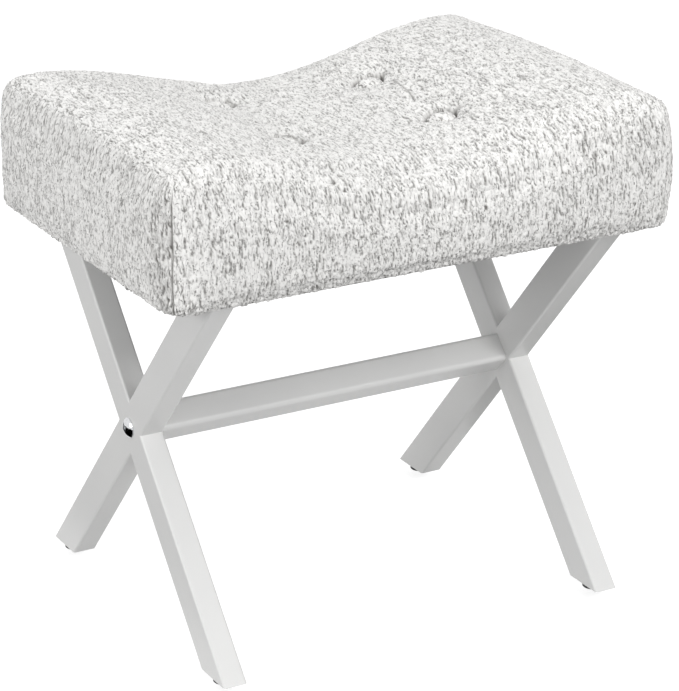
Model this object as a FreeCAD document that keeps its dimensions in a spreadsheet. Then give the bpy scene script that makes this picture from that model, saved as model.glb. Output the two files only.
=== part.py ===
"""Vanity stool: a tufted saddle seat on two welded X frames joined by a stretcher.

Millimetres, +Z up, X along the seat's long side, -Y the front. The origin is on the floor,
below the middle of the seat.
"""

import FreeCAD, Part
import math
import os

import Sketcher

# Driving sizes: name, value, what it is
SIZES = (
    ("seat_length", 442.0, "cushion along X, over the cloth"),
    ("seat_depth", 328.0, "cushion along Y at its fullest, over the cloth"),
    ("end_rise", 108.0, "cushion edge above the hem, at the raised ends"),
    ("saddle_dip", 30.0, "how far the edge drops at mid-length"),
    ("crest_reach", 200.0, "distance from the middle to the crest of the saddle"),
    ("crown", 5.0, "rise of the top between the front and back edges"),
    ("side_bulge", 3.0, "fullness of the long sides at half height"),
    ("side_draw", 2.0, "how far the long sides pull in at mid-length"),
    ("plan_round", 18.0, "rounding of the upright corners"),
    ("top_round", 18.0, "rounding of the top edge"),
    ("bottom_round", 8.0, "rounding of the bottom edge"),
    ("cloth", 2.5, "thickness of the looped cloth"),
    ("soft_gap", 0.3, "gap between foam and cloth"),
    ("hem_width", 25.0, "hem turned in below the board"),
    ("tuft_x", 67.0, "tufts from the middle, along X"),
    ("tuft_y", 57.0, "tufts from the middle, along Y"),
    ("tuft_tilt", 11.5, "lean of a tuft towards the middle, degrees"),
    ("tuft_depth", 14.0, "depth of a tuft below the plain surface"),
    ("tuft_reach", 40.0, "radius of a tuft's hollow inside its lip"),
    ("tuft_floor", 9.0, "radius of a tuft's flat floor"),
    ("tuft_lip", 12.0, "slope of the lip round a tuft's hollow, degrees"),
    ("tuft_lip_reach", 74.0, "radius where the lip ends if the top is still above it"),
    ("button_radius", 11.5, "covered button"),
    ("button_height", 7.0, "covered button, back to top"),
    ("button_back", 10.5, "radius of a covered button's flat back"),
    ("button_rim", 1.75, "covered button, back to where its dome begins"),
    ("button_shank", 2.5, "shank behind the button"),
    ("button_shank_radius", 2.0, "shank behind the button"),
    ("twine_radius", 0.8, "tufting twine"),
    ("twine_gap", 0.4, "room around the twine"),
    ("anchor_radius", 6.0, "disc that anchors the twine below the board"),
    ("anchor_thickness", 1.2, "disc that anchors the twine"),
    ("board_thickness", 12.0, "seat board"),
    ("board_margin_end", 6.0, "board edge inside the cloth, at the ends"),
    ("board_margin_side", 10.0, "board edge inside the cloth, at the long sides"),
    ("board_corner", 12.0, "board's corner radius"),
    ("dust_thickness", 1.0, "dust cover"),
    ("dust_gap", 0.5, "dust cover's edge inside the hem"),
    ("hem_corner", 3.0, "inner corner radius of the hem"),
    ("rail_gap", 0.5, "room around a rail where it presses the hem thin"),
    ("frame_height", 310.5, "floor to the top of the rails"),
    ("frame_spacing", 360.0, "outer face to outer face of the side frames"),
    ("crossing_height", 161.5, "floor to the crossing of the legs"),
    ("leg_lean", 41.4, "lean of the legs from upright, degrees"),
    ("tube_width", 30.0, "leg tube in the plane of the X"),
    ("tube_depth", 20.0, "leg tube across the plane of the X"),
    ("tube_wall", 1.5, "leg tube"),
    ("tube_corner", 2.0, "leg tube's outer corner radius"),
    ("stock_length", 600.0, "leg tube before its ends are cut"),
    ("rail_length", 300.0, "flat rail across the leg tops"),
    ("rail_thickness", 3.0, "flat rail"),
    ("rail_corner", 3.0, "flat rail's corner radius"),
    ("screw_inset", 28.72, "seat screw inboard of a leg's top edge"),
    ("screw_radius", 3.0, "seat screw's thread"),
    ("screw_length", 16.0, "seat screw below its head"),
    ("screw_head_radius", 5.5, "seat screw's domed head"),
    ("screw_head_height", 3.3, "seat screw's domed head"),
    ("screw_socket", 4.0, "seat screw's hexagon across flats"),
    ("screw_room", 0.3, "room around the screw in rail and dust cover"),
    ("washer_radius", 7.0, "seat screw's washer"),
    ("washer_thickness", 1.2, "seat screw's washer"),
    ("nut_barrel_radius", 4.2, "tee nut's barrel"),
    ("nut_barrel_length", 10.0, "tee nut's barrel below its flange"),
    ("nut_flange_radius", 9.5, "tee nut's flange"),
    ("nut_flange_thickness", 1.2, "tee nut's flange"),
    ("thread_gap", 0.05, "radial gap between a screw and its thread"),
    ("fit_gap", 0.05, "gap around pressed-in pieces"),
    ("stretcher_side", 25.0, "stretcher's square tube"),
    ("stretcher_wall", 1.5, "stretcher's square tube"),
    ("stretcher_corner", 4.0, "stretcher's outer corner radius"),
    ("plug_length", 15.0, "threaded plug in the stretcher's end"),
    ("bolt_radius", 4.0, "stretcher bolt's thread"),
    ("bolt_length", 34.0, "stretcher bolt below its head"),
    ("bolt_head_radius", 8.25, "stretcher bolt's domed head"),
    ("bolt_head_height", 4.6, "stretcher bolt's domed head"),
    ("bolt_head_rim", 0.9, "straight rim of a domed head"),
    ("bolt_socket", 5.0, "stretcher bolt's hexagon across flats"),
    ("socket_depth", 2.4, "hexagon socket"),
    ("bolt_room", 0.2, "room around the bolt in the leg's walls"),
    ("foot_height", 4.0, "floor to the cut end of the legs"),
    ("foot_radius", 8.5, "foot pad"),
    ("foot_chamfer", 0.6, "foot pad's lower edge"),
    ("foot_gap", 0.1, "gap between foot pad and leg at rest"),
    ("stud_radius", 3.0, "foot stud's thread"),
    ("stud_length", 12.0, "foot stud above the leg's cut end"),
    ("stud_disc_radius", 5.0, "disc that holds the stud in its pad"),
    ("stud_disc_thickness", 1.2, "disc that holds the stud in its pad"),
    ("stud_disc_height", 1.4, "floor to the disc"),
    ("leg_plate", 2.5, "threaded plate in a leg's end"),
    ("boss_radius", 5.5, "threaded boss on that plate"),
    ("boss_height", 7.5, "threaded boss, from the leg's cut end"),
    ("staple_crown", 10.0, "staple's crown"),
    ("staple_leg", 8.0, "staple's legs"),
    ("staple_wire", 1.2, "staple's width"),
    ("staple_thickness", 0.7, "staple's thickness"),
    ("staple_inset", 11.0, "staples inside the board's edge"),
    ("staple_pitch", 46.0, "distance between staples"),
)

STATION_TURN = 22.5  # degrees of the end rounding between two cushion sections
BODY_STATIONS = 9  # cushion sections between the end roundings
LEAST_ROUND = 1.5  # smallest corner arc of a cushion section
OVERRUN = 5.0  # how far a cutting shape runs past what it cuts

doc = FreeCAD.newDocument("vanity_stool")
sheet = doc.addObject("Spreadsheet::Sheet", "Sizes")
for row, (alias, value, meaning) in enumerate(SIZES, start=1):
    sheet.set(f"A{row}", str(value))
    sheet.setAlias(f"A{row}", alias)
    sheet.set(f"B{row}", meaning)
doc.recompute()

# Sizes that follow from the driving ones, as expressions
SEAT_UNDERSIDE = "(Sizes.frame_height + Sizes.dust_thickness - Sizes.cloth)"
BOARD_UNDERSIDE = "(Sizes.frame_height + Sizes.dust_thickness)"
BOARD_TOP = "(Sizes.frame_height + Sizes.dust_thickness + Sizes.board_thickness)"
BOARD_LENGTH = "(Sizes.seat_length - 2 * Sizes.board_margin_end)"
BOARD_DEPTH = "(Sizes.seat_depth - 2 * Sizes.board_margin_side)"
LEG_TOP = "(Sizes.frame_height - Sizes.rail_thickness)"
FOOT_Y = "((Sizes.crossing_height - Sizes.foot_height) * tan(Sizes.leg_lean))"
FRAME_X = "(Sizes.frame_spacing / 2 - Sizes.tube_depth / 2)"
INNER_X = "(Sizes.frame_spacing / 2 - Sizes.tube_depth)"
SCREW_Y = (
    f"(({LEG_TOP} - Sizes.crossing_height) * tan(Sizes.leg_lean)"
    " - Sizes.tube_width / 2 / cos(Sizes.leg_lean) - Sizes.screw_inset)"
)
TWINE_X = "(Sizes.tuft_x + Sizes.tuft_depth * sin(Sizes.tuft_tilt))"
TUFT_SPAN = "(Sizes.seat_depth / 2 - Sizes.side_bulge - Sizes.top_round)"
TUFT_HEIGHT = (
    f"({SEAT_UNDERSIDE} + Sizes.end_rise"
    " - Sizes.saddle_dip * cos(90 * Sizes.tuft_x / Sizes.crest_reach) ^ 2"
    f" + Sizes.crown * (1 - (Sizes.tuft_y / {TUFT_SPAN}) ^ 2))"
)


def size(expression):
    """Value of a size or of an expression of sizes."""
    text = expression if "Sizes." in expression else "Sizes." + expression
    return float(sheet.evalExpression(text))


def bind(obj, **expressions):
    """Bind properties of an object to expressions; a dot in a property's name is written __."""
    for name, expression in expressions.items():
        obj.setExpression(name.replace("__", "."), expression)
    return obj


def origin_plane(body, role):
    """Origin plane of a body, by its role."""
    return next(f for f in body.Origin.OriginFeatures if f.Role == role)


def sketch_on(body, role, name):
    """New sketch of a body on one of its origin planes."""
    sketch = body.newObject("Sketcher::SketchObject", name)
    sketch.AttachmentSupport = (origin_plane(body, role), "")
    sketch.MapMode = "FlatFace"
    return sketch


def lift(sketch, height):
    """Raise a sketch above its plane to a height given as an expression."""
    sketch.setExpression("AttachmentOffset.Base.z", height)


def dimension(sketch, name, constraint, expression):
    """Add a named dimension to a sketch and bind it to an expression."""
    index = sketch.addConstraint(constraint)
    sketch.renameConstraint(index, name)
    sketch.setExpression("Constraints." + name, expression)


def rounded_rectangle(sketch, width, depth, corner, prefix=""):
    """Draw a rectangle with round corners, centred on the sketch's origin.

    width, depth and corner are expressions; prefix keeps the dimensions' names apart.
    """
    half_w = size(width) / 2
    half_d = size(depth) / 2
    r = size(corner)
    point = FreeCAD.Vector
    up = point(0, 0, 1)
    quarter = math.pi / 2
    sides = (
        (point(-half_w + r, -half_d, 0), point(half_w - r, -half_d, 0)),
        (point(half_w, -half_d + r, 0), point(half_w, half_d - r, 0)),
        (point(half_w - r, half_d, 0), point(-half_w + r, half_d, 0)),
        (point(-half_w, half_d - r, 0), point(-half_w, -half_d + r, 0)),
    )
    centres = (
        point(half_w - r, -half_d + r, 0),
        point(half_w - r, half_d - r, 0),
        point(-half_w + r, half_d - r, 0),
        point(-half_w + r, -half_d + r, 0),
    )
    lines = [sketch.addGeometry(Part.LineSegment(a, b)) for a, b in sides]
    arcs = [
        sketch.addGeometry(Part.ArcOfCircle(Part.Circle(c, up, r), (k - 1) * quarter, k * quarter))
        for k, c in enumerate(centres)
    ]
    for k in range(4):
        sketch.addConstraint(Sketcher.Constraint("Tangent", lines[k], 2, arcs[k], 1))
        sketch.addConstraint(Sketcher.Constraint("Tangent", arcs[k], 2, lines[(k + 1) % 4], 1))
    for k in (0, 2):
        sketch.addConstraint(Sketcher.Constraint("Horizontal", lines[k]))
        sketch.addConstraint(Sketcher.Constraint("Vertical", lines[k + 1]))
    for k in (1, 2, 3):
        sketch.addConstraint(Sketcher.Constraint("Equal", arcs[0], arcs[k]))
    sketch.addConstraint(Sketcher.Constraint("Symmetric", arcs[0], 3, arcs[2], 3, -1, 1))
    dimension(
        sketch, prefix + "width",
        Sketcher.Constraint("DistanceX", lines[3], 1, lines[1], 1, 2 * half_w), width,
    )
    dimension(
        sketch, prefix + "depth",
        Sketcher.Constraint("DistanceY", lines[0], 1, lines[2], 1, 2 * half_d), depth,
    )
    dimension(sketch, prefix + "corner", Sketcher.Constraint("Radius", arcs[0], r), corner)


def value_of(place):
    """Number for an expression, or 0 for "0"."""
    return 0.0 if place == "0" else size(place)


def place_point(sketch, name, geometry, end, x, z):
    """Hold a point of a sketch at a place given as two expressions, or "0" for on the axis."""
    for axis, line, place in (("X", -2, x), ("Y", -1, z)):
        if place == "0":
            sketch.addConstraint(Sketcher.Constraint("PointOnObject", geometry, end, line))
            continue
        offset = Sketcher.Constraint("Distance" + axis, -1, 1, geometry, end, value_of(place))
        dimension(sketch, f"{name}_{axis.lower()}", offset, place)


def circle(sketch, name, x, y, radius):
    """Draw a circle; x and y are expressions, or "0" for on the axis."""
    centre = FreeCAD.Vector(value_of(x), value_of(y), 0)
    ring = sketch.addGeometry(Part.Circle(centre, FreeCAD.Vector(0, 0, 1), size(radius)))
    dimension(sketch, name + "_radius", Sketcher.Constraint("Radius", ring, size(radius)), radius)
    place_point(sketch, name, ring, 3, x, y)


def pad(body, sketch, length, both_ways=False):
    """Pad a sketch by a length given as an expression."""
    feature = body.newObject("PartDesign::Pad", sketch.Name + "_pad")
    feature.Profile = sketch
    if both_ways:
        feature.SideType = "Symmetric"
    feature.setExpression("Length", length)
    return feature


def pocket(body, sketch, length, reverse=False):
    """Cut a sketch out by a length given as an expression."""
    feature = body.newObject("PartDesign::Pocket", sketch.Name + "_pocket")
    feature.Profile = sketch
    feature.Reversed = reverse
    feature.setExpression("Length", length)
    return feature


def body(name):
    """New body with its own label."""
    made = doc.addObject("PartDesign::Body", name)
    made.Label = name
    return made


def bar_stock(name, width, depth, corner, length, wall=None):
    """Straight bar along Z, centred on the origin; with a wall it is a tube."""
    made = body(name)
    outline = sketch_on(made, "XY_Plane", name + "_outline")
    rounded_rectangle(outline, width, depth, corner)
    if wall:
        inner_width = f"({width} - 2 * {wall})"
        inner_depth = f"({depth} - 2 * {wall})"
        rounded_rectangle(outline, inner_width, inner_depth, f"({corner} - {wall})", "inner_")
    pad(made, outline, length, both_ways=True)
    return made


def box(name, length, width, height, x, y, z):
    """Box with its sizes and its lowest corner given as expressions."""
    made = doc.addObject("Part::Box", name)
    return bind(
        made, Length=length, Width=width, Height=height,
        Placement__Base__x=x, Placement__Base__y=y, Placement__Base__z=z,
    )


def cylinder(name, radius, height, x, y, z):
    """Upright cylinder with its sizes and the middle of its foot given as expressions."""
    made = doc.addObject("Part::Cylinder", name)
    return bind(
        made, Radius=radius, Height=height,
        Placement__Base__x=x, Placement__Base__y=y, Placement__Base__z=z,
    )


def cut(name, base, *tools):
    """Cut one or more tools from a base."""
    for k, tool in enumerate(tools):
        last = k == len(tools) - 1
        made = doc.addObject("Part::Cut", name if last else f"{name}_step_{k + 1}")
        made.Base = base
        made.Tool = tool
        base = made
    return base


def common(name, base, tool):
    """What two shapes share."""
    made = doc.addObject("Part::Common", name)
    made.Base = base
    made.Tool = tool
    return made


def group(name, members):
    """Compound of separate solids."""
    made = doc.addObject("Part::Compound", name)
    made.Links = members
    return made


def mirrored(name, source, across):
    """Mirror image across the plane through the origin that is square to an axis."""
    made = doc.addObject("Part::Mirroring", name)
    made.Source = source
    made.Normal = FreeCAD.Vector(*(1 if axis == across else 0 for axis in "XYZ"))
    return made


def quarters(name, source):
    """The source and its mirror images in the other three quarters."""
    beside = mirrored(name + "_beside", source, "X")
    behind = mirrored(name + "_behind", source, "Y")
    return [source, beside, behind, mirrored(name + "_opposite", beside, "Y")]


def four_of(name, source):
    """The source and its mirror images in the other three quarters, as one group."""
    return group(name, quarters(name, source))


def closed_outline(sketch, corners):
    """Draw a closed outline through corners (x, z) or (x, z, radius).

    The run from a corner with a radius to the next one is an arc of under a half circle that
    bulges to the right of the way round; every corner and radius is bound to its expression.
    """
    up = FreeCAD.Vector(0, 0, 1)
    count = len(corners)
    for k, corner in enumerate(corners):
        a = FreeCAD.Vector(value_of(corner[0]), value_of(corner[1]), 0)
        after = corners[(k + 1) % count]
        b = FreeCAD.Vector(value_of(after[0]), value_of(after[1]), 0)
        if len(corner) == 2:
            sketch.addGeometry(Part.LineSegment(a, b))
            continue
        radius = size(corner[2])
        half = (b - a) * 0.5
        aside = up.cross(half).normalize()
        centre = a + half + aside * math.sqrt(radius ** 2 - half.Length ** 2)
        sketch.addGeometry(Part.Arc(a, centre - aside * radius, b))
    for k, corner in enumerate(corners):
        sketch.addConstraint(Sketcher.Constraint("Coincident", k, 2, (k + 1) % count, 1))
        place_point(sketch, f"corner_{k + 1}", k, 1, corner[0], corner[1])
        if len(corner) == 3:
            radius = Sketcher.Constraint("Radius", k, size(corner[2]))
            dimension(sketch, f"radius_{k + 1}", radius, corner[2])


def revolved(name, corners):
    """Body of revolution about Z from a closed outline in the XZ plane."""
    made = body(name)
    sketch = sketch_on(made, "XZ_Plane", name + "_outline")
    closed_outline(sketch, corners)
    turn = made.newObject("PartDesign::Revolution", name + "_turn")
    turn.Profile = sketch
    turn.ReferenceAxis = (sketch, ["V_Axis"])
    turn.Angle = 360.0
    return made


def dome_radius(radius, height, rim):
    """Radius of a dome over a straight rim, as an expression."""
    rise = f"({height} - {rim})"
    return f"(({radius} ^ 2 + {rise} ^ 2) / (2 * {rise}))"


def domed_screw(name, head_radius, head_height, rim, shank_radius, shank_length, socket):
    """Screw along Z with a domed head above z = 0, its shank below and a hexagon socket."""
    made = revolved(
        name,
        (
            ("0", f"-{shank_length}"),
            (shank_radius, f"-{shank_length}"),
            (shank_radius, "0"),
            (head_radius, "0"),
            (head_radius, rim, dome_radius(head_radius, head_height, rim)),
            ("0", head_height),
        ),
    )
    hexagon = sketch_on(made, "XY_Plane", name + "_socket")
    lift(hexagon, head_height)
    across = size(socket)
    outer = across / math.sqrt(3)
    ring = hexagon.addGeometry(
        Part.Circle(FreeCAD.Vector(0, 0, 0), FreeCAD.Vector(0, 0, 1), outer), True
    )
    hexagon.addConstraint(Sketcher.Constraint("Coincident", ring, 3, -1, 1))
    radius = Sketcher.Constraint("Radius", ring, outer)
    dimension(hexagon, "across", radius, f"{socket} / sqrt(3)")
    points = [
        FreeCAD.Vector(outer * math.cos(k * math.pi / 3), outer * math.sin(k * math.pi / 3), 0)
        for k in range(6)
    ]
    sides = [
        hexagon.addGeometry(Part.LineSegment(points[k], points[(k + 1) % 6])) for k in range(6)
    ]
    for k, side in enumerate(sides):
        hexagon.addConstraint(Sketcher.Constraint("Coincident", side, 2, sides[(k + 1) % 6], 1))
        hexagon.addConstraint(Sketcher.Constraint("PointOnObject", side, 1, ring))
    for side in sides[1:]:
        hexagon.addConstraint(Sketcher.Constraint("Equal", sides[0], side))
    hexagon.addConstraint(Sketcher.Constraint("PointOnObject", sides[0], 1, -1))
    pocket(made, hexagon, "Sizes.socket_depth")
    return made


# Side frames: welded tube, one leg running through and two half legs butted to it

def tube_leg(name, wall=None, shrink=None):
    """Leg stock across X: full outline, tube, or the core that fills the tube."""
    inset = f" - 2 * {shrink}" if shrink else ""
    corner = f"(Sizes.tube_corner - {shrink})" if shrink else "Sizes.tube_corner"
    return bar_stock(
        name, f"(Sizes.tube_depth{inset})", f"(Sizes.tube_width{inset})", corner,
        "Sizes.stock_length", wall,
    )


def lean(stock, side_sign, lean_sign):
    """Lean a stock about the crossing of its side frame."""
    stock.Placement.Rotation = FreeCAD.Rotation(FreeCAD.Vector(1, 0, 0), 1)
    return bind(
        stock,
        Placement__Base__x=f"{side_sign} * {FRAME_X}",
        Placement__Base__z="Sizes.crossing_height",
        Placement__Rotation__Angle=f"{lean_sign} * Sizes.leg_lean",
    )


def zone(name, side_sign, bottom, top, front_sign=None):
    """Slab that holds a side frame, or its front or back half, between two heights."""
    width = "(2 * Sizes.tube_depth)"
    half = f"(2 * {FOOT_Y})"
    return box(
        name, width, half if front_sign else f"(2 * {half})", f"({top} - {bottom})",
        f"({side_sign} * {FRAME_X} - {width} / 2)",
        "0" if front_sign == "1" else f"(-{half})", bottom,
    )


def flat_rail(side, side_sign):
    """Flat rail across a frame's leg tops, with its two screw holes."""
    made = body(f"{side}_rail")
    outline = sketch_on(made, "XY_Plane", f"{side}_rail_outline")
    rounded_rectangle(outline, "Sizes.tube_depth", "Sizes.rail_length", "Sizes.rail_corner")
    pad(made, outline, "Sizes.rail_thickness")
    holes = sketch_on(made, "XY_Plane", f"{side}_rail_holes")
    hole = "(Sizes.screw_radius + Sizes.screw_room)"
    circle(holes, "front", "0", f"-{SCREW_Y}", hole)
    circle(holes, "back", "0", SCREW_Y, hole)
    pocket(made, holes, "Sizes.rail_thickness", reverse=True)
    return bind(
        made, Placement__Base__x=f"{side_sign} * {FRAME_X}", Placement__Base__z=LEG_TOP
    )


def leg_plate(name, core, side_sign, front_sign):
    """Threaded plate welded into a leg's cut end, with the boss that takes the foot's stud."""
    x = f"{side_sign} * {FRAME_X}"
    y = f"{front_sign} * {FOOT_Y}"
    slab = zone(
        name + "_slab", side_sign, "Sizes.foot_height", "(Sizes.foot_height + Sizes.leg_plate)",
        front_sign,
    )
    boss = cylinder(
        name + "_boss", "Sizes.boss_radius", "Sizes.boss_height", x, y, "Sizes.foot_height"
    )
    whole = doc.addObject("Part::Fuse", name + "_whole")
    whole.Base = common(name + "_plate", core, slab)
    whole.Tool = boss
    hole = cylinder(
        name + "_thread", "Sizes.stud_radius", "(Sizes.foot_height + 2 * Sizes.boss_height)",
        x, y, "0",
    )
    return cut(name, whole, hole)


def side_frame(side, side_sign):
    """Welded X frame; the right one is the left one turned half round about Z."""
    through = f"{side_sign}"
    across = "1" if side_sign == "-1" else "-1"
    long_tube = lean(tube_leg(f"{side}_long_stock", wall="Sizes.tube_wall"), side_sign, through)
    long_bar = lean(tube_leg(f"{side}_long_bar"), side_sign, through)
    long_core = lean(tube_leg(f"{side}_long_core", shrink="Sizes.tube_wall"), side_sign, through)
    cross_tube = lean(tube_leg(f"{side}_cross_stock", wall="Sizes.tube_wall"), side_sign, across)
    cross_core = lean(
        tube_leg(f"{side}_cross_core", shrink="Sizes.tube_wall"), side_sign, across
    )
    whole_zone = zone(f"{side}_zone", side_sign, "Sizes.foot_height", LEG_TOP)
    upper_zone = zone(f"{side}_upper_zone", side_sign, "Sizes.crossing_height", LEG_TOP)
    lower_zone = zone(
        f"{side}_lower_zone", side_sign, "Sizes.foot_height", "Sizes.crossing_height"
    )
    bolt_hole = doc.addObject("Part::Cylinder", f"{side}_bolt_hole")
    bolt_hole.Placement.Rotation = FreeCAD.Rotation(FreeCAD.Vector(0, 1, 0), 90)
    bind(
        bolt_hole, Radius="(Sizes.bolt_radius + Sizes.bolt_room)",
        Height="(2 * Sizes.tube_depth)",
        Placement__Base__x=f"({side_sign} * {FRAME_X} - Sizes.tube_depth)",
        Placement__Base__z="Sizes.crossing_height",
    )
    long_leg = cut(
        f"{side}_long_leg", common(f"{side}_long_cut", long_tube, whole_zone), bolt_hole
    )
    halves = [
        cut(f"{side}_{name}_half_leg", common(f"{side}_{name}_cut", cross_tube, part), long_bar)
        for name, part in (("upper", upper_zone), ("lower", lower_zone))
    ]
    through_front = side_sign == "-1"
    plates = [
        leg_plate(
            f"{side}_{end}_leg_plate", long_core if is_long else cross_core, side_sign, sign
        )
        for end, sign, is_long in (
            ("front", "-1", through_front), ("back", "1", not through_front)
        )
    ]
    return [long_leg, *halves, flat_rail(side, side_sign), *plates]


# Stretcher: square tube on its corner, bolted to the side frames through their crossings

def stretcher():
    """Tube, its two threaded end plugs and its two chrome bolts."""
    tube = bar_stock(
        "stretcher_tube", "Sizes.stretcher_side", "Sizes.stretcher_side",
        "Sizes.stretcher_corner", f"(2 * {INNER_X})", "Sizes.stretcher_wall",
    )
    along_x = FreeCAD.Rotation(FreeCAD.Vector(0, 1, 0), 90)
    on_corner = FreeCAD.Rotation(FreeCAD.Vector(0, 0, 1), 45)
    tube.Placement.Rotation = along_x.multiply(on_corner)
    bind(tube, Placement__Base__z="Sizes.crossing_height")
    made = [tube]
    plug_side = "(Sizes.stretcher_side - 2 * Sizes.stretcher_wall - 2 * Sizes.fit_gap)"
    plug_corner = "(Sizes.stretcher_corner - Sizes.stretcher_wall)"
    for side, sign in (("left", "-1"), ("right", "1")):
        plug = body(f"stretcher_{side}_plug")
        outline = sketch_on(plug, "XY_Plane", f"{side}_plug_outline")
        rounded_rectangle(outline, plug_side, plug_side, plug_corner)
        circle(outline, "thread", "0", "0", "Sizes.bolt_radius")
        pad(plug, outline, "Sizes.plug_length")
        inward = FreeCAD.Rotation(FreeCAD.Vector(0, 1, 0), 90 if sign == "-1" else -90)
        plug.Placement.Rotation = inward.multiply(on_corner)
        bind(
            plug, Placement__Base__x=f"{sign} * {INNER_X}",
            Placement__Base__z="Sizes.crossing_height",
        )
        bolt = domed_screw(
            f"stretcher_{side}_bolt", "Sizes.bolt_head_radius", "Sizes.bolt_head_height",
            "Sizes.bolt_head_rim", "(Sizes.bolt_radius - Sizes.thread_gap)",
            "Sizes.bolt_length", "Sizes.bolt_socket",
        )
        bolt.Placement.Rotation = FreeCAD.Rotation(
            FreeCAD.Vector(0, 1, 0), -90 if sign == "-1" else 90
        )
        bind(
            bolt, Placement__Base__x=f"{sign} * Sizes.frame_spacing / 2",
            Placement__Base__z="Sizes.crossing_height",
        )
        made += [plug, bolt]
    return made


# Feet: a plastic pad moulded round the disc of a threaded stud

def foot(name, side_sign, front_sign):
    """Foot pad and its stud, at rest against the leg's cut end."""
    disc_top = "(Sizes.stud_disc_height + Sizes.stud_disc_thickness)"
    shaft = "(Sizes.stud_radius - Sizes.thread_gap)"
    stud_top = "(Sizes.foot_height + Sizes.stud_length)"
    pad_top = "(Sizes.foot_height - Sizes.foot_gap)"
    gap = "Sizes.fit_gap"
    stud = revolved(
        name + "_stud",
        (
            ("0", "Sizes.stud_disc_height"),
            ("Sizes.stud_disc_radius", "Sizes.stud_disc_height"),
            ("Sizes.stud_disc_radius", disc_top),
            (shaft, disc_top),
            (shaft, stud_top),
            ("0", stud_top),
        ),
    )
    pocket_floor = f"(Sizes.stud_disc_height - {gap})"
    pocket_roof = f"({disc_top} + {gap})"
    pocket_radius = f"(Sizes.stud_disc_radius + {gap})"
    made = revolved(
        name + "_pad",
        (
            ("0", "0"),
            ("(Sizes.foot_radius - Sizes.foot_chamfer)", "0"),
            ("Sizes.foot_radius", "Sizes.foot_chamfer"),
            ("Sizes.foot_radius", pad_top),
            (f"({shaft} + {gap})", pad_top),
            (f"({shaft} + {gap})", pocket_roof),
            (pocket_radius, pocket_roof),
            (pocket_radius, pocket_floor),
            ("0", pocket_floor),
        ),
    )
    for piece in (stud, made):
        bind(
            piece, Placement__Base__x=f"{side_sign} * {FRAME_X}",
            Placement__Base__y=f"{front_sign} * {FOOT_Y}",
        )
    return [made, stud]


# Seat board with its tee nuts, screws, washers and dust cover

def seat_board():
    """Board with counterbored holes for the tee nuts and the tufting twine."""
    made = body("seat_board")
    outline = sketch_on(made, "XY_Plane", "board_outline")
    rounded_rectangle(outline, BOARD_LENGTH, BOARD_DEPTH, "Sizes.board_corner")
    pad(made, outline, "Sizes.board_thickness")
    places = [
        (f"{side}_{end}", x_sign, y_sign)
        for side, x_sign in (("left", "-"), ("right", ""))
        for end, y_sign in (("front", "-"), ("back", ""))
    ]
    rounds = (
        ("nut_holes", "0", FRAME_X, SCREW_Y, "(Sizes.nut_barrel_radius + Sizes.fit_gap)",
         "Sizes.board_thickness", True),
        ("nut_recesses", "Sizes.board_thickness", FRAME_X, SCREW_Y,
         "(Sizes.nut_flange_radius + Sizes.fit_gap)", "Sizes.nut_flange_thickness", False),
        ("twine_holes", "0", TWINE_X, "Sizes.tuft_y",
         "(Sizes.twine_radius + Sizes.twine_gap)", "Sizes.board_thickness", True),
        ("anchor_recesses", "0", TWINE_X, "Sizes.tuft_y",
         "(Sizes.anchor_radius + Sizes.fit_gap)",
         "(Sizes.anchor_thickness + Sizes.fit_gap)", True),
    )
    for name, height, x, y, radius, depth, upwards in rounds:
        holes = sketch_on(made, "XY_Plane", name)
        if height != "0":
            lift(holes, height)
        for place, x_sign, y_sign in places:
            circle(holes, place, x_sign + x, y_sign + y, radius)
        pocket(made, holes, depth, reverse=upwards)
    return bind(made, Placement__Base__z=BOARD_UNDERSIDE)


def tee_nuts():
    """Four tee nuts pressed into the board from above."""
    flange_foot = "(-Sizes.nut_flange_thickness)"
    barrel_foot = "(-Sizes.nut_flange_thickness - Sizes.nut_barrel_length)"
    nut = revolved(
        "tee_nut",
        (
            ("Sizes.screw_radius", barrel_foot),
            ("Sizes.nut_barrel_radius", barrel_foot),
            ("Sizes.nut_barrel_radius", flange_foot),
            ("Sizes.nut_flange_radius", flange_foot),
            ("Sizes.nut_flange_radius", "0"),
            ("Sizes.screw_radius", "0"),
        ),
    )
    bind(nut, Placement__Base__x=FRAME_X, Placement__Base__y=SCREW_Y, Placement__Base__z=BOARD_TOP)
    return four_of("tee_nuts", nut)


def seat_screws():
    """Four domed screws that hold the board to the rails, from below."""
    screw = domed_screw(
        "seat_screw", "Sizes.screw_head_radius", "Sizes.screw_head_height",
        "Sizes.bolt_head_rim", "(Sizes.screw_radius - Sizes.thread_gap)",
        "Sizes.screw_length", "Sizes.screw_socket",
    )
    screw.Placement.Rotation = FreeCAD.Rotation(FreeCAD.Vector(1, 0, 0), 180)
    bind(
        screw, Placement__Base__x=FRAME_X, Placement__Base__y=SCREW_Y,
        Placement__Base__z=f"({LEG_TOP} - Sizes.washer_thickness)",
    )
    return four_of("seat_screws", screw)


def seat_washers():
    """Four washers between the screw heads and the rails."""
    washer = body("seat_washer")
    outline = sketch_on(washer, "XY_Plane", "washer_outline")
    circle(outline, "rim", "0", "0", "Sizes.washer_radius")
    circle(outline, "hole", "0", "0", "(Sizes.screw_radius + Sizes.screw_room)")
    pad(washer, outline, "Sizes.washer_thickness")
    bind(
        washer, Placement__Base__x=FRAME_X, Placement__Base__y=SCREW_Y,
        Placement__Base__z=f"({LEG_TOP} - Sizes.washer_thickness)",
    )
    return four_of("seat_washers", washer)


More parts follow.
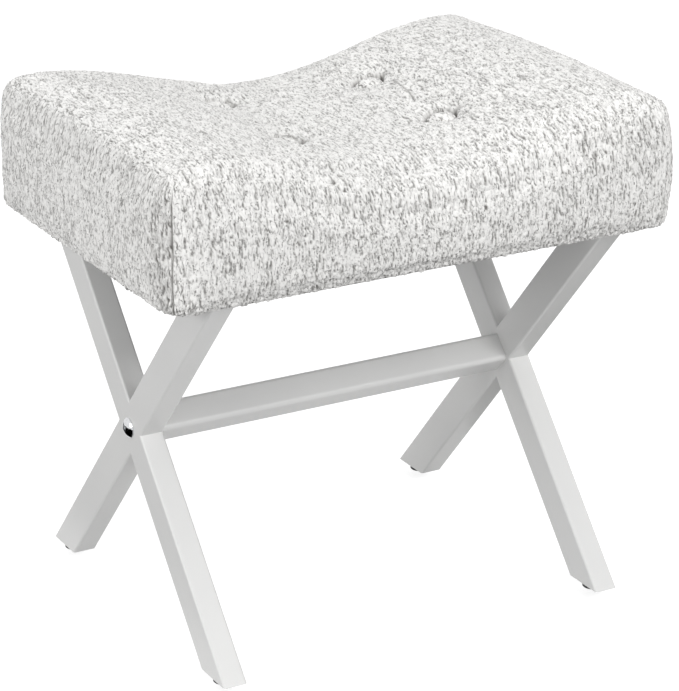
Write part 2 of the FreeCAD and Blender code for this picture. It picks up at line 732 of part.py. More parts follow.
def dust_cover():
    """Sheet that closes the underside inside the hem, with holes for the seat screws."""
    made = body("dust_cover")
    outline = sketch_on(made, "XY_Plane", "dust_outline")
    edge = "2 * (Sizes.hem_width + Sizes.dust_gap)"
    rounded_rectangle(
        outline, f"({BOARD_LENGTH} - {edge})", f"({BOARD_DEPTH} - {edge})", "Sizes.hem_corner"
    )
    pad(made, outline, "Sizes.dust_thickness")
    holes = sketch_on(made, "XY_Plane", "dust_holes")
    for side, x_sign in (("left", "-"), ("right", "")):
        for end, y_sign in (("front", "-"), ("back", "")):
            circle(
                holes, f"{side}_{end}", x_sign + FRAME_X, y_sign + SCREW_Y,
                "(Sizes.screw_radius + Sizes.screw_room)",
            )
    pocket(made, holes, "Sizes.dust_thickness", reverse=True)
    return bind(made, Placement__Base__z="Sizes.frame_height")


# Cushion: saddle form lofted through sections across X

def edge_height(x, cover):
    """Height of the cushion's top edge at a place along X, this far inside the cloth."""
    top = size(SEAT_UNDERSIDE) + size("end_rise") - cover
    reach = size("crest_reach")
    if abs(x) >= reach:
        return top
    return top - size("saddle_dip") * math.cos(math.pi / 2 * x / reach) ** 2


def quarter_inset(run, radius):
    """How far a quarter round of this radius stands in, this far from its start."""
    if run >= radius:
        return 0.0
    return radius - math.sqrt(radius ** 2 - (radius - run) ** 2)


def cushion_section(x, cover):
    """Closed section of the cushion across X, this far inside the cloth."""
    point = FreeCAD.Vector
    end_x = size("seat_length") / 2 - cover
    run = end_x - abs(x)
    inset = quarter_inset(run, size("plan_round") - cover)
    rise = quarter_inset(run, size("bottom_round") - cover)
    top_r = max(size("top_round") - cover - inset, LEAST_ROUND)
    low_r = max(size("bottom_round") - cover - rise, LEAST_ROUND)
    draw = size("side_draw") * math.cos(math.pi * x / size("seat_length")) ** 2
    full = size("seat_depth") / 2 - cover - draw - inset
    side = full - size("side_bulge")
    low = size(SEAT_UNDERSIDE) + cover + rise
    top = edge_height(x, cover) - inset
    eighth = math.sqrt(0.5)

    def half(sign):
        """Corner points of one side, from the underside up to the top."""
        return [
            point(x, sign * (side - low_r), low),
            point(x, sign * (side - low_r + low_r * eighth), low + low_r * (1 - eighth)),
            point(x, sign * side, low + low_r),
            point(x, sign * full, (low + low_r + top - top_r) / 2),
            point(x, sign * side, top - top_r),
            point(x, sign * (side - top_r + top_r * eighth), top - top_r * (1 - eighth)),
            point(x, sign * (side - top_r), top),
        ]

    front = half(-1)
    back = half(1)
    edges = [Part.LineSegment(front[0], back[0])]
    edges += [Part.Arc(*back[k:k + 3]) for k in (0, 2, 4)]
    edges.append(Part.Arc(back[6], point(x, 0, top + size("crown")), front[6]))
    edges += [Part.Arc(front[k + 2], front[k + 1], front[k]) for k in (4, 2, 0)]
    return Part.Wire([edge.toShape() for edge in edges])


def cushion_form(name, cover):
    """Solid saddle form, this far inside the cloth's outer face."""
    end_x = size("seat_length") / 2 - cover
    radius = size("plan_round") - cover
    turns = [math.radians(STATION_TURN * k) for k in range(int(90 / STATION_TURN) + 1)]
    ends = [end_x - radius + radius * math.cos(turn) for turn in turns]
    straight = end_x - radius
    middle = [
        straight * (2 * k / (BODY_STATIONS + 1) - 1) for k in range(1, BODY_STATIONS + 1)
    ]
    places = [-x for x in ends] + middle + list(reversed(ends))
    form = doc.addObject("Part::Feature", name)
    form.Shape = Part.makeLoft([cushion_section(x, cover) for x in places], True, False)
    return form


def at_tuft(piece, drop="0"):
    """Stand a piece made about Z on the right back tuft, leaning with it and lowered by a drop."""
    piece.Placement.Rotation = FreeCAD.Rotation(FreeCAD.Vector(0, 1, 0), -1)
    return bind(
        piece, Placement__Base__x="Sizes.tuft_x", Placement__Base__y="Sizes.tuft_y",
        Placement__Base__z=f"({TUFT_HEIGHT} - {drop})",
        Placement__Rotation__Angle="-Sizes.tuft_tilt",
    )


def tuft_hollows(name, drop):
    """Tools that sink the four tufts, lowered by a drop.

    The hollow's wall is an arc that runs out into the sloping lip, which meets the saddle
    where the top rises towards the middle and the ends.
    """
    rise = "(3 * Sizes.tuft_depth)"
    run = "(Sizes.tuft_reach - Sizes.tuft_floor)"
    chord = f"(sqrt({run} ^ 2 + Sizes.tuft_depth ^ 2))"
    bend = f"({chord} / (2 * sin(atan(Sizes.tuft_depth / {run}) - Sizes.tuft_lip * 1 deg)))"
    lip_top = "((Sizes.tuft_lip_reach - Sizes.tuft_reach) * tan(Sizes.tuft_lip))"
    tool = revolved(
        name + "_one",
        (
            ("0", rise),
            ("Sizes.tuft_lip_reach", rise),
            ("Sizes.tuft_lip_reach", lip_top),
            ("Sizes.tuft_reach", "0", bend),
            ("Sizes.tuft_floor", "(-Sizes.tuft_depth)"),
            ("0", "(-Sizes.tuft_depth)"),
        ),
    )
    return quarters(name, at_tuft(tool, drop))


def plan_block(name, length, depth, corner, bottom, top):
    """Upright block with round corners between two heights."""
    made = body(name)
    outline = sketch_on(made, "XY_Plane", name + "_outline")
    rounded_rectangle(outline, length, depth, corner)
    pad(made, outline, f"({top} - {bottom})")
    return bind(made, Placement__Base__z=bottom)


def rail_recess(side, side_sign):
    """Room in the hem where a rail presses it thin against the board."""
    below = f"({SEAT_UNDERSIDE} - {OVERRUN})"
    return box(
        f"{side}_rail_recess", "(Sizes.tube_depth + 2 * Sizes.rail_gap)",
        "(Sizes.rail_length + 2 * Sizes.rail_gap)", f"(Sizes.frame_height - {below})",
        f"({side_sign} * {FRAME_X} - Sizes.tube_depth / 2 - Sizes.rail_gap)",
        "(-Sizes.rail_length / 2 - Sizes.rail_gap)", below,
    )


def upholstery():
    """Foam and cloth cover, both sunk at the four tufts and pierced for the twine."""
    inner = "Sizes.cloth"
    lining = "(Sizes.cloth + Sizes.soft_gap)"
    twine_holes = four_of(
        "twine_ways",
        cylinder("twine_way", "(Sizes.twine_radius + Sizes.twine_gap)", "Sizes.end_rise",
                 TWINE_X, "Sizes.tuft_y", BOARD_TOP),
    )
    above_board = box(
        "above_board", "(2 * Sizes.seat_length)", "(2 * Sizes.seat_depth)",
        "(2 * Sizes.end_rise)", "(-Sizes.seat_length)", "(-Sizes.seat_depth)", BOARD_TOP,
    )
    foam = cut(
        "seat_foam", common("foam_block", cushion_form("foam_form", size(lining)), above_board),
        *tuft_hollows("foam_tufts", lining), twine_holes,
    )
    room = cut(
        "foam_room", common("room_block", cushion_form("room_form", size(inner)), above_board),
        *tuft_hollows("room_tufts", inner),
    )
    board_room = plan_block(
        "board_room", BOARD_LENGTH, BOARD_DEPTH, "Sizes.board_corner", BOARD_UNDERSIDE, BOARD_TOP
    )
    hem_opening = plan_block(
        "hem_opening", f"({BOARD_LENGTH} - 2 * Sizes.hem_width)",
        f"({BOARD_DEPTH} - 2 * Sizes.hem_width)", "Sizes.hem_corner",
        f"({SEAT_UNDERSIDE} - {OVERRUN})", BOARD_UNDERSIDE,
    )
    cover = cut(
        "seat_cover", cushion_form("cover_form", 0.0), *tuft_hollows("cover_tufts", "0"), room,
        board_room, hem_opening, rail_recess("left", "-1"), rail_recess("right", "1"),
        twine_holes,
    )
    return [foam, cover]


def tuft_buttons():
    """Four covered buttons, each with its shank on the floor of its tuft."""
    back = "(Sizes.button_shank - Sizes.tuft_depth)"
    button = revolved(
        "tuft_button_right_back",
        (
            ("0", "(-Sizes.tuft_depth)"),
            ("Sizes.button_shank_radius", "(-Sizes.tuft_depth)"),
            ("Sizes.button_shank_radius", back),
            ("Sizes.button_back", back),
            (
                "Sizes.button_radius", f"({back} + Sizes.button_rim)",
                dome_radius("Sizes.button_radius", "Sizes.button_height", "Sizes.button_rim"),
            ),
            ("0", f"({back} + Sizes.button_height)"),
        ),
    )
    at_tuft(button)
    left_back = mirrored("tuft_button_left_back", button, "X")
    right_front = mirrored("tuft_button_right_front", button, "Y")
    left_front = mirrored("tuft_button_left_front", left_back, "Y")
    return [button, left_back, right_front, left_front]


def tufting_twine():
    """Four strands of twine from the buttons down to the anchors."""
    foot = f"({BOARD_UNDERSIDE} + Sizes.fit_gap)"
    top = f"({TUFT_HEIGHT} - Sizes.tuft_depth * cos(Sizes.tuft_tilt) - Sizes.soft_gap)"
    strand = cylinder(
        "strand", "Sizes.twine_radius", f"({top} - {foot})", TWINE_X, "Sizes.tuft_y", foot
    )
    return four_of("tufting_twine", strand)


def twine_anchors():
    """Four discs in the board's underside that hold the twine."""
    disc = body("twine_anchor")
    outline = sketch_on(disc, "XY_Plane", "anchor_outline")
    circle(outline, "rim", "0", "0", "Sizes.anchor_radius")
    circle(outline, "hole", "0", "0", "(Sizes.twine_radius + Sizes.fit_gap)")
    pad(disc, outline, "Sizes.anchor_thickness")
    bind(
        disc, Placement__Base__x=TWINE_X, Placement__Base__y="Sizes.tuft_y",
        Placement__Base__z=f"({BOARD_UNDERSIDE} + Sizes.fit_gap)",
    )
    return four_of("twine_anchors", disc)


def evenly(span, pitch):
    """Places from end to end of a span centred on 0, about a pitch apart."""
    steps = max(int(span / pitch), 1)
    return [span * (k / steps - 0.5) for k in range(steps + 1)]


def staple(x, y, turn):
    """One staple under the hem, its legs up through the hem into the board."""
    crown, leg = size("staple_crown"), size("staple_leg")
    wire, thick = size("staple_wire"), size("staple_thickness")
    whole = Part.makeBox(crown, wire, thick, FreeCAD.Vector(-crown / 2, -wire / 2, -thick))
    for start in (-crown / 2, crown / 2 - thick):
        whole = whole.fuse(Part.makeBox(thick, wire, leg, FreeCAD.Vector(start, -wire / 2, 0)))
    whole = whole.removeSplitter()
    whole.Placement = FreeCAD.Placement(
        FreeCAD.Vector(x, y, size(SEAT_UNDERSIDE)),
        FreeCAD.Rotation(FreeCAD.Vector(0, 0, 1), turn),
    )
    return whole


def staples():
    """Staples round the hem, none where a rail lies."""
    half_x = size(BOARD_LENGTH) / 2 - size("staple_inset")
    half_y = size(BOARD_DEPTH) / 2 - size("staple_inset")
    margin = size("hem_width")
    rail_room = size("tube_depth") / 2 + size("staple_crown")
    made = []
    for x in evenly(2 * (half_x - margin), size("staple_pitch")):
        if abs(abs(x) - size(FRAME_X)) > rail_room:
            made += [staple(x, y, 0) for y in (-half_y, half_y)]
    for y in evenly(2 * (half_y - margin), size("staple_pitch")):
        made += [staple(x, y, 90) for x in (-half_x, half_x)]
    holder = doc.addObject("Part::Feature", "hem_staples")
    holder.Shape = Part.Compound(made)
    return holder


def build():
    """All the pieces of the stool."""
    pieces = [seat_board(), *upholstery(), dust_cover(), tee_nuts(), seat_screws()]
    pieces += [seat_washers(), *tuft_buttons(), tufting_twine(), twine_anchors(), staples()]
    pieces += stretcher()
    for side, side_sign in (("left", "-1"), ("right", "1")):
        pieces += side_frame(side, side_sign)
        for end, front_sign in (("front", "-1"), ("back", "1")):
            pieces += foot(f"{side}_{end}_foot", side_sign, front_sign)
    for piece in pieces:
        piece.Label = piece.Name
    doc.recompute()
    return pieces


def check(pieces):
    """Stop if any object failed or any piece has no sound shape."""
    failed = [o.Name for o in doc.Objects if {"Invalid", "Error"} & set(o.State)]
    unsound = [p.Label for p in pieces if p.Shape.isNull() or not p.Shape.isValid()]
    if failed or unsound:
        raise RuntimeError(f"failed: {failed}; unsound: {unsound}")


def export(pieces):
    """Write each piece to a file of its own name."""
    os.makedirs("parts", exist_ok=True)
    for piece in pieces:
        piece.Shape.exportStep(f"parts/{piece.Label}.step")
        bounds = piece.Shape.BoundBox
        print(
            f"{piece.Label}: {len(piece.Shape.Solids)} solids, {piece.Shape.Volume:.0f} mm3,"
            f" z {bounds.ZMin:.1f} to {bounds.ZMax:.1f}"
        )


made_pieces = build()
check(made_pieces)
export(made_pieces)
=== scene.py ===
"""Vanity stool: cloth, finishes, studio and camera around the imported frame."""
import logging
import math
from collections.abc import Iterable, Iterator, Sequence
from contextlib import contextmanager
from dataclasses import dataclass, field
from enum import Enum

import bpy
import numpy as np
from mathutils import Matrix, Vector


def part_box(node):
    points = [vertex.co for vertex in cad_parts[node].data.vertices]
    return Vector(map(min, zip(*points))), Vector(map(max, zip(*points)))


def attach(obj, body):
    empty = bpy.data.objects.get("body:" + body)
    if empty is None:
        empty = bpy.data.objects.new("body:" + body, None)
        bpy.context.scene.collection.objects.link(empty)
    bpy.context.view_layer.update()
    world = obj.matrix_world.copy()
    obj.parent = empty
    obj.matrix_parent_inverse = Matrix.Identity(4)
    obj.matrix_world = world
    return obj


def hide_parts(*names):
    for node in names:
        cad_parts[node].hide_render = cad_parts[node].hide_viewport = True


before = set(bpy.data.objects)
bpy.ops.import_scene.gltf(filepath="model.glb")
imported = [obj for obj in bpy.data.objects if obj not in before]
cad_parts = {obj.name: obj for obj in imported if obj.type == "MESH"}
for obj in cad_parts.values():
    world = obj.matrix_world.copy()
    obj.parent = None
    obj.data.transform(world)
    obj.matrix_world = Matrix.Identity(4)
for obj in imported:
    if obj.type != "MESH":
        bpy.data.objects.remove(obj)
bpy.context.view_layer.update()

LOG = logging.getLogger("vanity_stool")
MM = 0.001
TINY = 1e-9
BODY = "stool"
SIDES = ("left", "right")
ENDS = ("back", "front")
CLOTH_MAP = "OFBake"
# Attribute of how deep the cloth lies; the cloth's colour darkens with it as painted shade.
CREVICE_SHADE = "crevice"
HASH_FACTORS = (374761393, 668265263, 1442695041)
HASH_ROUNDS = ((13, 1274126177), (16, 2246822519))
HASH_LAST_SHIFT = 15
WORD = 0xFFFFFFFF
FRACTION = 0xFFFFFF
FAR = 9.0

Array = np.ndarray
Number = float | Array
Triple = tuple[float, float, float]
Piece = bpy.types.Object
Socket = bpy.types.NodeSocket
Material = bpy.types.Material


class Coordinates(Enum):
    """What a finish reads its place from; the value is the name of the output."""

    OBJECT = "Object"
    CLOTH_MAP = "UV"


class Part(Enum):
    """Parts of a mesh that are selected; the value is where the mesh keeps them."""

    EDGE = "edges"
    FACE = "polygons"


# ---------------------------------------------------------------- small tools

def smooth(share: Number) -> Number:
    """Cubic ease of a share from 0 to 1."""
    return share * share * (3.0 - 2.0 * share)


def smooth_step(low: Number, high: Number, value: Number) -> Number:
    """Cubic step from 0 at low to 1 at high."""
    return smooth(np.clip((value - low) / (high - low), 0.0, 1.0))


def bell(offset: Number) -> Number:
    """1 at no offset, falling to nothing on both sides."""
    return np.exp(-offset ** 2)


def scatter(column: Array, row: Array, seed: int) -> Array:
    """Repeatable scatter from 0 to 1 for the cells of a grid.

    Args:
        column: whole numbers along the first way.
        row: whole numbers along the second way.
        seed: picks one of many scatters.

    Returns:
        One number from 0 to 1 for each cell.
    """
    by_column, by_row, by_seed = HASH_FACTORS
    mixed = (
        column.astype(np.int64) * by_column + row.astype(np.int64) * by_row + seed * by_seed
    ) & WORD
    for shift, factor in HASH_ROUNDS:
        mixed = ((mixed ^ (mixed >> shift)) * factor) & WORD
    return ((mixed ^ (mixed >> HASH_LAST_SHIFT)) & FRACTION) / float(FRACTION)


def drift(across: Array, along: Array, seed: int) -> Array:
    """Soft wandering value from -1 to 1 on a grid of unit cells."""
    column, row = np.floor(across), np.floor(along)
    right, up = smooth(across - column), smooth(along - row)
    low, high = (
        scatter(column, line, seed) * (1 - right) + scatter(column + 1, line, seed) * right
        for line in (row, row + 1)
    )
    return 2.0 * (low * (1 - up) + high * up) - 1.0


def curls(across: Array, along: Array, seed: int) -> tuple[Array, Array]:
    """Distances to the nearest and second nearest curl of yarn, one curl a cell.

    Args:
        across: place across the yarn, in cells.
        along: place along the yarn, in cells.
        seed: picks one of many layings.

    Returns:
        Distance to the nearest curl's centre, and to the next one's.
    """
    column, row = np.floor(across), np.floor(along)
    near = np.full(across.shape, FAR)
    following = np.full(across.shape, FAR)
    for step_column in (-1, 0, 1):
        for step_row in (-1, 0, 1):
            here_column, here_row = column + step_column, row + step_row
            gap = np.hypot(
                here_column + scatter(here_column, here_row, seed) - across,
                here_row + scatter(here_column, here_row, seed + 7) - along,
            )
            following = np.minimum(following, np.maximum(near, gap))
            near = np.minimum(near, gap)
    return near, following


def deselect() -> None:
    """Leave edit mode and select nothing."""
    if bpy.context.object and bpy.context.object.mode != "OBJECT":
        bpy.ops.object.mode_set(mode="OBJECT")
    bpy.ops.object.select_all(action="DESELECT")


def only(piece: Piece) -> None:
    """Select one piece and make it active."""
    deselect()
    piece.select_set(True)
    bpy.context.view_layer.objects.active = piece


@contextmanager
def editing() -> Iterator[None]:
    """Edit mode of the active piece."""
    bpy.ops.object.mode_set(mode="EDIT")
    yield
    bpy.ops.object.mode_set(mode="OBJECT")


def new_cube() -> Piece:
    """Cube from -1 to 1 along each axis."""
    deselect()
    bpy.ops.mesh.primitive_cube_add(size=2.0, location=(0, 0, 0))
    return bpy.context.object


def apply_place(piece: Piece) -> None:
    """Put a piece's place and turn into its mesh."""
    only(piece)
    bpy.ops.object.transform_apply(location=True, rotation=True, scale=True)


def read(parts: Sequence, key: str, width: int = 1, kind: type = float) -> Array:
    """One property of all parts of a mesh, a row for each part."""
    flat = np.empty(len(parts) * width, dtype=kind)
    parts.foreach_get(key, flat)
    return flat.reshape(-1, width) if width > 1 else flat


def points_of(piece: Piece) -> Array:
    """Corner points of a piece's mesh, one row each."""
    return read(piece.data.vertices, "co", 3)


def set_points(piece: Piece, points: Array) -> None:
    """Write the corner points of a piece's mesh."""
    piece.data.vertices.foreach_set("co", np.ascontiguousarray(points).ravel())
    piece.data.update()


def normals_of(piece: Piece) -> Array:
    """Outward direction at each corner point of a piece."""
    return read(piece.data.vertex_normals, "vector", 3)


def edges_of(piece: Piece) -> Array:
    """Numbers of the two corner points of each edge."""
    return read(piece.data.edges, "vertices", 2, int)


def loops_of(mesh: bpy.types.Mesh) -> tuple[Array, Array, Array]:
    """Corner point and face of each face corner, and how many corners each face has."""
    sizes = read(mesh.polygons, "loop_total", 1, int)
    corner_points = read(mesh.loops, "vertex_index", 1, int)
    return corner_points, np.repeat(np.arange(len(sizes)), sizes), sizes


def read_map(mesh: bpy.types.Mesh) -> Array:
    """Cloth map, one row for each face corner."""
    return read(mesh.uv_layers[CLOTH_MAP].uv, "vector", 2, np.float32)


def write_map(mesh: bpy.types.Mesh, laid: Array) -> None:
    """Write the cloth map, one row for each face corner."""
    mesh.uv_layers[CLOTH_MAP].uv.foreach_set("vector", laid.ravel().astype(np.float32))


def select_parts(piece: Piece, part: Part, chosen: Array) -> None:
    """Select only the chosen edges or faces of a piece."""
    only(piece)
    with editing():
        bpy.ops.mesh.select_mode(type=part.name)
        bpy.ops.mesh.select_all(action="DESELECT")
    getattr(piece.data, part.value).foreach_set("select", chosen)


def select_rim() -> None:
    """In edit mode, select the edges of the open rim and nothing else."""
    bpy.ops.mesh.select_mode(type=Part.EDGE.name)
    bpy.ops.mesh.select_all(action="DESELECT")
    bpy.ops.mesh.select_non_manifold(
        extend=False, use_wire=False, use_boundary=True, use_multi_face=False,
        use_non_contiguous=False, use_verts=False,
    )


def subdivide_surface(piece: Piece, levels: int = 2) -> None:
    """Add a subdivision surface and apply it."""
    only(piece)
    modifier = piece.modifiers.new("soften", "SUBSURF")
    modifier.levels = levels
    modifier.render_levels = levels
    bpy.ops.object.modifier_apply(modifier="soften")


def cut_edges(piece: Piece, axis: int, cuts: int) -> None:
    """Subdivide the edges of a block that run along one axis.

    Args:
        piece: block whose edges run along the three axes.
        axis: 0, 1 or 2.
        cuts: cuts across each of those edges.
    """
    ends = points_of(piece)[edges_of(piece)]
    run = np.abs(ends[:, 0] - ends[:, 1])
    select_parts(piece, Part.EDGE, np.argmax(run, axis=1) == axis)
    with editing():
        bpy.ops.mesh.subdivide(number_cuts=cuts)


def face_ups(piece: Piece) -> None:
    """Turn all faces of a closed piece outwards."""
    only(piece)
    with editing():
        bpy.ops.mesh.select_all(action="SELECT")
        bpy.ops.mesh.normals_make_consistent(inside=False)


def store_crevice_shade(piece: Piece, depth: Array) -> None:
    """Keep how deep each corner point lies between the curls; the cloth's colour darkens with it as
    painted shade.
    """
    attribute = piece.data.attributes.new(CREVICE_SHADE, "FLOAT", "POINT")
    attribute.data.foreach_set("value", depth.astype(np.float32))


def finish_piece(
    piece: Piece, name: str, material: Material, replaced: Sequence[str],
) -> None:
    """Name, colour and smooth a finished piece, hang it on the stool's body and hide the nodes it
    stands for.

    Args:
        piece: the piece, its place already in its mesh.
        name: its name.
        material: its finish.
        replaced: CAD nodes that it stands for.
    """
    only(piece)
    bpy.ops.object.shade_smooth()
    piece.name = name
    piece.data.name = name
    piece.data.materials.clear()
    piece.data.materials.append(material)
    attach(piece, BODY)
    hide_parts(*replaced)
    LOG.info("%s: %d faces", name, len(piece.data.polygons))


# ---------------------------------------------------------------- finishes

@dataclass(frozen=True)
class Grain:
    """One noise of a finish: the span of it that counts, its scale and its stretch."""

    low: float
    high: float
    scale: float = 1.0
    detail: float = 2.0
    roughness: float = 0.5
    stretch: Triple = (1, 1, 1)


@dataclass(frozen=True)
class NodeBench:
    """Shader nodes of one material, wired by short calls."""

    tree: bpy.types.NodeTree

    def wire(self, node: bpy.types.Node, inputs: dict) -> None:
        """Link each input of a node from a socket, or give it a plain value."""
        for key, value in inputs.items():
            if isinstance(value, Socket):
                self.tree.links.new(value, node.inputs[key])
            else:
                node.inputs[key].default_value = value

    def add(self, kind: str, inputs: dict | None = None, **settings: object
            ) -> bpy.types.Node:
        """New node with its inputs; settings are its properties."""
        node = self.tree.nodes.new(kind)
        for key, value in settings.items():
            setattr(node, key, value)
        self.wire(node, inputs or {})
        return node

    def place(
        self, scale: Triple = (1, 1, 1), turn: Triple = (0, 0, 0),
        source: Coordinates = Coordinates.OBJECT,
    ) -> Socket:
        """Place on the piece, stretched and turned.

        Args:
            scale: stretch along each axis.
            turn: turn about each axis, in degrees.
            source: what the place is read from.

        Returns:
            The mapped place.
        """
        if source is Coordinates.CLOTH_MAP:
            node = self.add("ShaderNodeUVMap", uv_map=CLOTH_MAP)
        else:
            node = self.add("ShaderNodeTexCoord")
        turned = tuple(math.radians(degrees) for degrees in turn)
        return self.add("ShaderNodeMapping", {
            "Scale": scale, "Rotation": turned, "Vector": node.outputs[source.value],
        }).outputs["Vector"]

    def noise(
        self, where: Socket, scale: float, detail: float = 3.0, roughness: float = 0.5,
    ) -> Socket:
        """Noise at a scale, as a factor."""
        return self.add("ShaderNodeTexNoise", {
            "Scale": scale, "Detail": detail, "Roughness": roughness, "Vector": where,
        }).outputs["Fac"]

    def grain(self, grain: Grain) -> Socket:
        """Noise of a grain over the piece."""
        return self.noise(
            self.place(grain.stretch), grain.scale, grain.detail, grain.roughness
        )

    def noise_on_map(
        self, where: Socket, scale: float, detail: float, output: str = "Color",
    ) -> Socket:
        """Noise over the flat cloth map."""
        return self.add("ShaderNodeTexNoise", {
            "Scale": scale, "Detail": detail, "Vector": where,
        }, noise_dimensions="2D").outputs[output]

    def cells(self, where: Socket, scale: float) -> Socket:
        """Distance to the nearest of scattered points, at a scale."""
        return self.add("ShaderNodeTexVoronoi", {
            "Scale": scale, "Vector": where,
        }, feature="F1", voronoi_dimensions="3D").outputs["Distance"]

    def span(
        self, value: Socket, low: float, high: float, start: float = 0.0, end: float = 1.0,
    ) -> Socket:
        """Map a value from one span to another, clamped."""
        return self.add("ShaderNodeMapRange", {
            "From Min": low, "From Max": high, "To Min": start, "To Max": end,
            "Value": value,
        }, clamp=True).outputs["Result"]

    def math(self, operation: str, first: Socket, second: Socket | float) -> Socket:
        """One sum on two values."""
        return self.add(
            "ShaderNodeMath", {0: first, 1: second}, operation=operation
        ).outputs["Value"]

    def blend(
        self, factor: Socket, first: Sequence[float] | Socket, second: Sequence[float],
    ) -> Socket:
        """Colour between two colours, by a factor."""
        if not isinstance(first, Socket):
            first = (*first, 1.0)
        return self.add(
            "ShaderNodeMix", {"Factor": factor, 6: first, 7: (*second, 1.0)},
            data_type="RGBA",
        ).outputs[2]

    def relief(
        self, height: Socket, strength: float, distance: float, under: Socket | None = None,
    ) -> Socket:
        """Bump of a height, over another bump if one is given."""
        inputs = {"Strength": strength, "Distance": distance, "Height": height}
        if under is not None:
            inputs["Normal"] = under
        return self.add("ShaderNodeBump", inputs).outputs["Normal"]


def new_material(name: str) -> tuple[Material, NodeBench, bpy.types.Node]:
    """Material with its node bench and its main shader."""
    material = bpy.data.materials.new(name)
    material.use_nodes = True
    shader = next(n for n in material.node_tree.nodes if n.type == "BSDF_PRINCIPLED")
    return material, NodeBench(material.node_tree), shader


@dataclass(frozen=True)
class Mottled:
    """Finish with a mottled colour, an uneven gloss and a fine relief.

    The relief is its strength and its depth in metres. It follows the gloss, unless the
    finish has a skin of its own.
    """

    name: str
    colour: Triple
    shade: Triple
    tone: Grain
    gloss: Grain
    rough: tuple[float, float]
    relief: tuple[float, float]
    skin: Grain | None = None
    metallic: float = 0.0

    def make(self) -> Material:
        """Build the finish."""
        material, bench, shader = new_material(self.name)
        gloss = bench.grain(self.gloss)
        skin = bench.grain(self.skin) if self.skin else gloss
        tone = bench.span(bench.grain(self.tone), self.tone.low, self.tone.high)
        rough = self.rough[0]
        if self.rough[1] != rough:
            rough = bench.span(gloss, self.gloss.low, self.gloss.high, *self.rough)
        bench.wire(shader, {
            "Base Color": bench.blend(tone, self.colour, self.shade), "Roughness": rough,
            "Normal": bench.relief(skin, *self.relief), "Metallic": self.metallic,
        })
        return material


POWDER_COAT = Mottled(
    "powder_coat_finish", (0.725, 0.725, 0.717), (0.69, 0.69, 0.685),
    tone=Grain(0.35, 0.7, 9.0), gloss=Grain(0.3, 0.7, 700.0, 1.0, 0.4),
    rough=(0.33, 0.44), relief=(0.12, 0.15 * MM),
)
ZINC = Mottled(
    "zinc_finish", (0.60, 0.61, 0.62), (0.44, 0.45, 0.47),
    tone=Grain(0.35, 0.7, 160.0, 4.0, 0.6), gloss=Grain(0.3, 0.7, stretch=(300, 300, 4000)),
    rough=(0.26, 0.44), relief=(0.15, 0.05 * MM), metallic=1.0,
)
CHROME = Mottled(
    "chrome_finish", (0.74, 0.75, 0.76), (0.62, 0.63, 0.65),
    tone=Grain(0.45, 0.75, 420.0, 3.0), gloss=Grain(0.4, 0.75, stretch=(900, 260, 260)),
    rough=(0.09, 0.21), relief=(0.04, 0.03 * MM), metallic=1.0,
)
BLACK_PLASTIC = Mottled(
    "black_plastic_finish", (0.018, 0.018, 0.019), (0.04, 0.04, 0.041),
    tone=Grain(0.55, 0.75, 240.0, 4.0, 0.65), gloss=Grain(0.4, 0.7, 240.0, 4.0, 0.65),
    rough=(0.49, 0.67), relief=(0.25, 0.08 * MM), skin=Grain(0.0, 1.0, 2200.0),
)
TWINE_FIBRES = Grain(0.35, 0.7, detail=3.0, stretch=(5000, 5000, 900))
WAXED_TWINE = Mottled(
    "twine_finish", (0.72, 0.69, 0.60), (0.52, 0.48, 0.40),
    tone=TWINE_FIBRES, gloss=TWINE_FIBRES, rough=(0.6, 0.6), relief=(0.4, 0.08 * MM),
)


@dataclass(frozen=True)
class Plywood:
    """Pale plywood: long grain on its faces, plies at its edges."""

    pale: Triple = (0.60, 0.44, 0.28)
    dark: Triple = (0.42, 0.28, 0.16)
    ply: float = 2.0 * MM
    fibre_share: float = 0.25

    def make(self) -> Material:
        """Build the finish."""
        material, bench, shader = new_material("plywood_finish")
        grain = bench.noise(bench.place((6, 90, 0.5 / self.ply)), 1.0, 6.0, 0.6)
        fibre = bench.noise(bench.place((60, 1500, 1500)), 1.0)
        streaks = bench.math("ADD", grain, bench.math("MULTIPLY", fibre, self.fibre_share))
        bench.wire(shader, {
            "Base Color": bench.blend(bench.span(streaks, 0.45, 0.85), self.pale, self.dark),
            "Roughness": 0.72, "Normal": bench.relief(streaks, 0.25, 0.15 * MM),
        })
        return material


@dataclass(frozen=True)
class LiningCloth:
    """Black spun lining: a random felt of fine fibres with pressed dots."""

    colour: Triple = (0.022, 0.022, 0.024)
    fibre: Triple = (0.055, 0.055, 0.058)
    lays: tuple[float, float] = (24, -51)
    dot_pitch: float = 1.6 * MM

    def make(self) -> Material:
        """Build the finish."""
        material, bench, shader = new_material("lining_finish")
        fibres = bench.math("MULTIPLY", *(
            bench.noise(bench.place((2600, 300, 300), (0, 0, lay)), 1.0) for lay in self.lays
        ))
        dots = bench.span(bench.cells(bench.place(), 1.0 / self.dot_pitch), 0.15, 0.3)
        felt = bench.relief(fibres, 0.4, 0.15 * MM)
        bench.wire(shader, {
            "Base Color": bench.blend(bench.span(fibres, 0.2, 0.42), self.colour, self.fibre),
            "Normal": bench.relief(dots, 0.3, 0.1 * MM, felt),
            "Roughness": 0.9, "Sheen Weight": 0.15,
        })
        return material


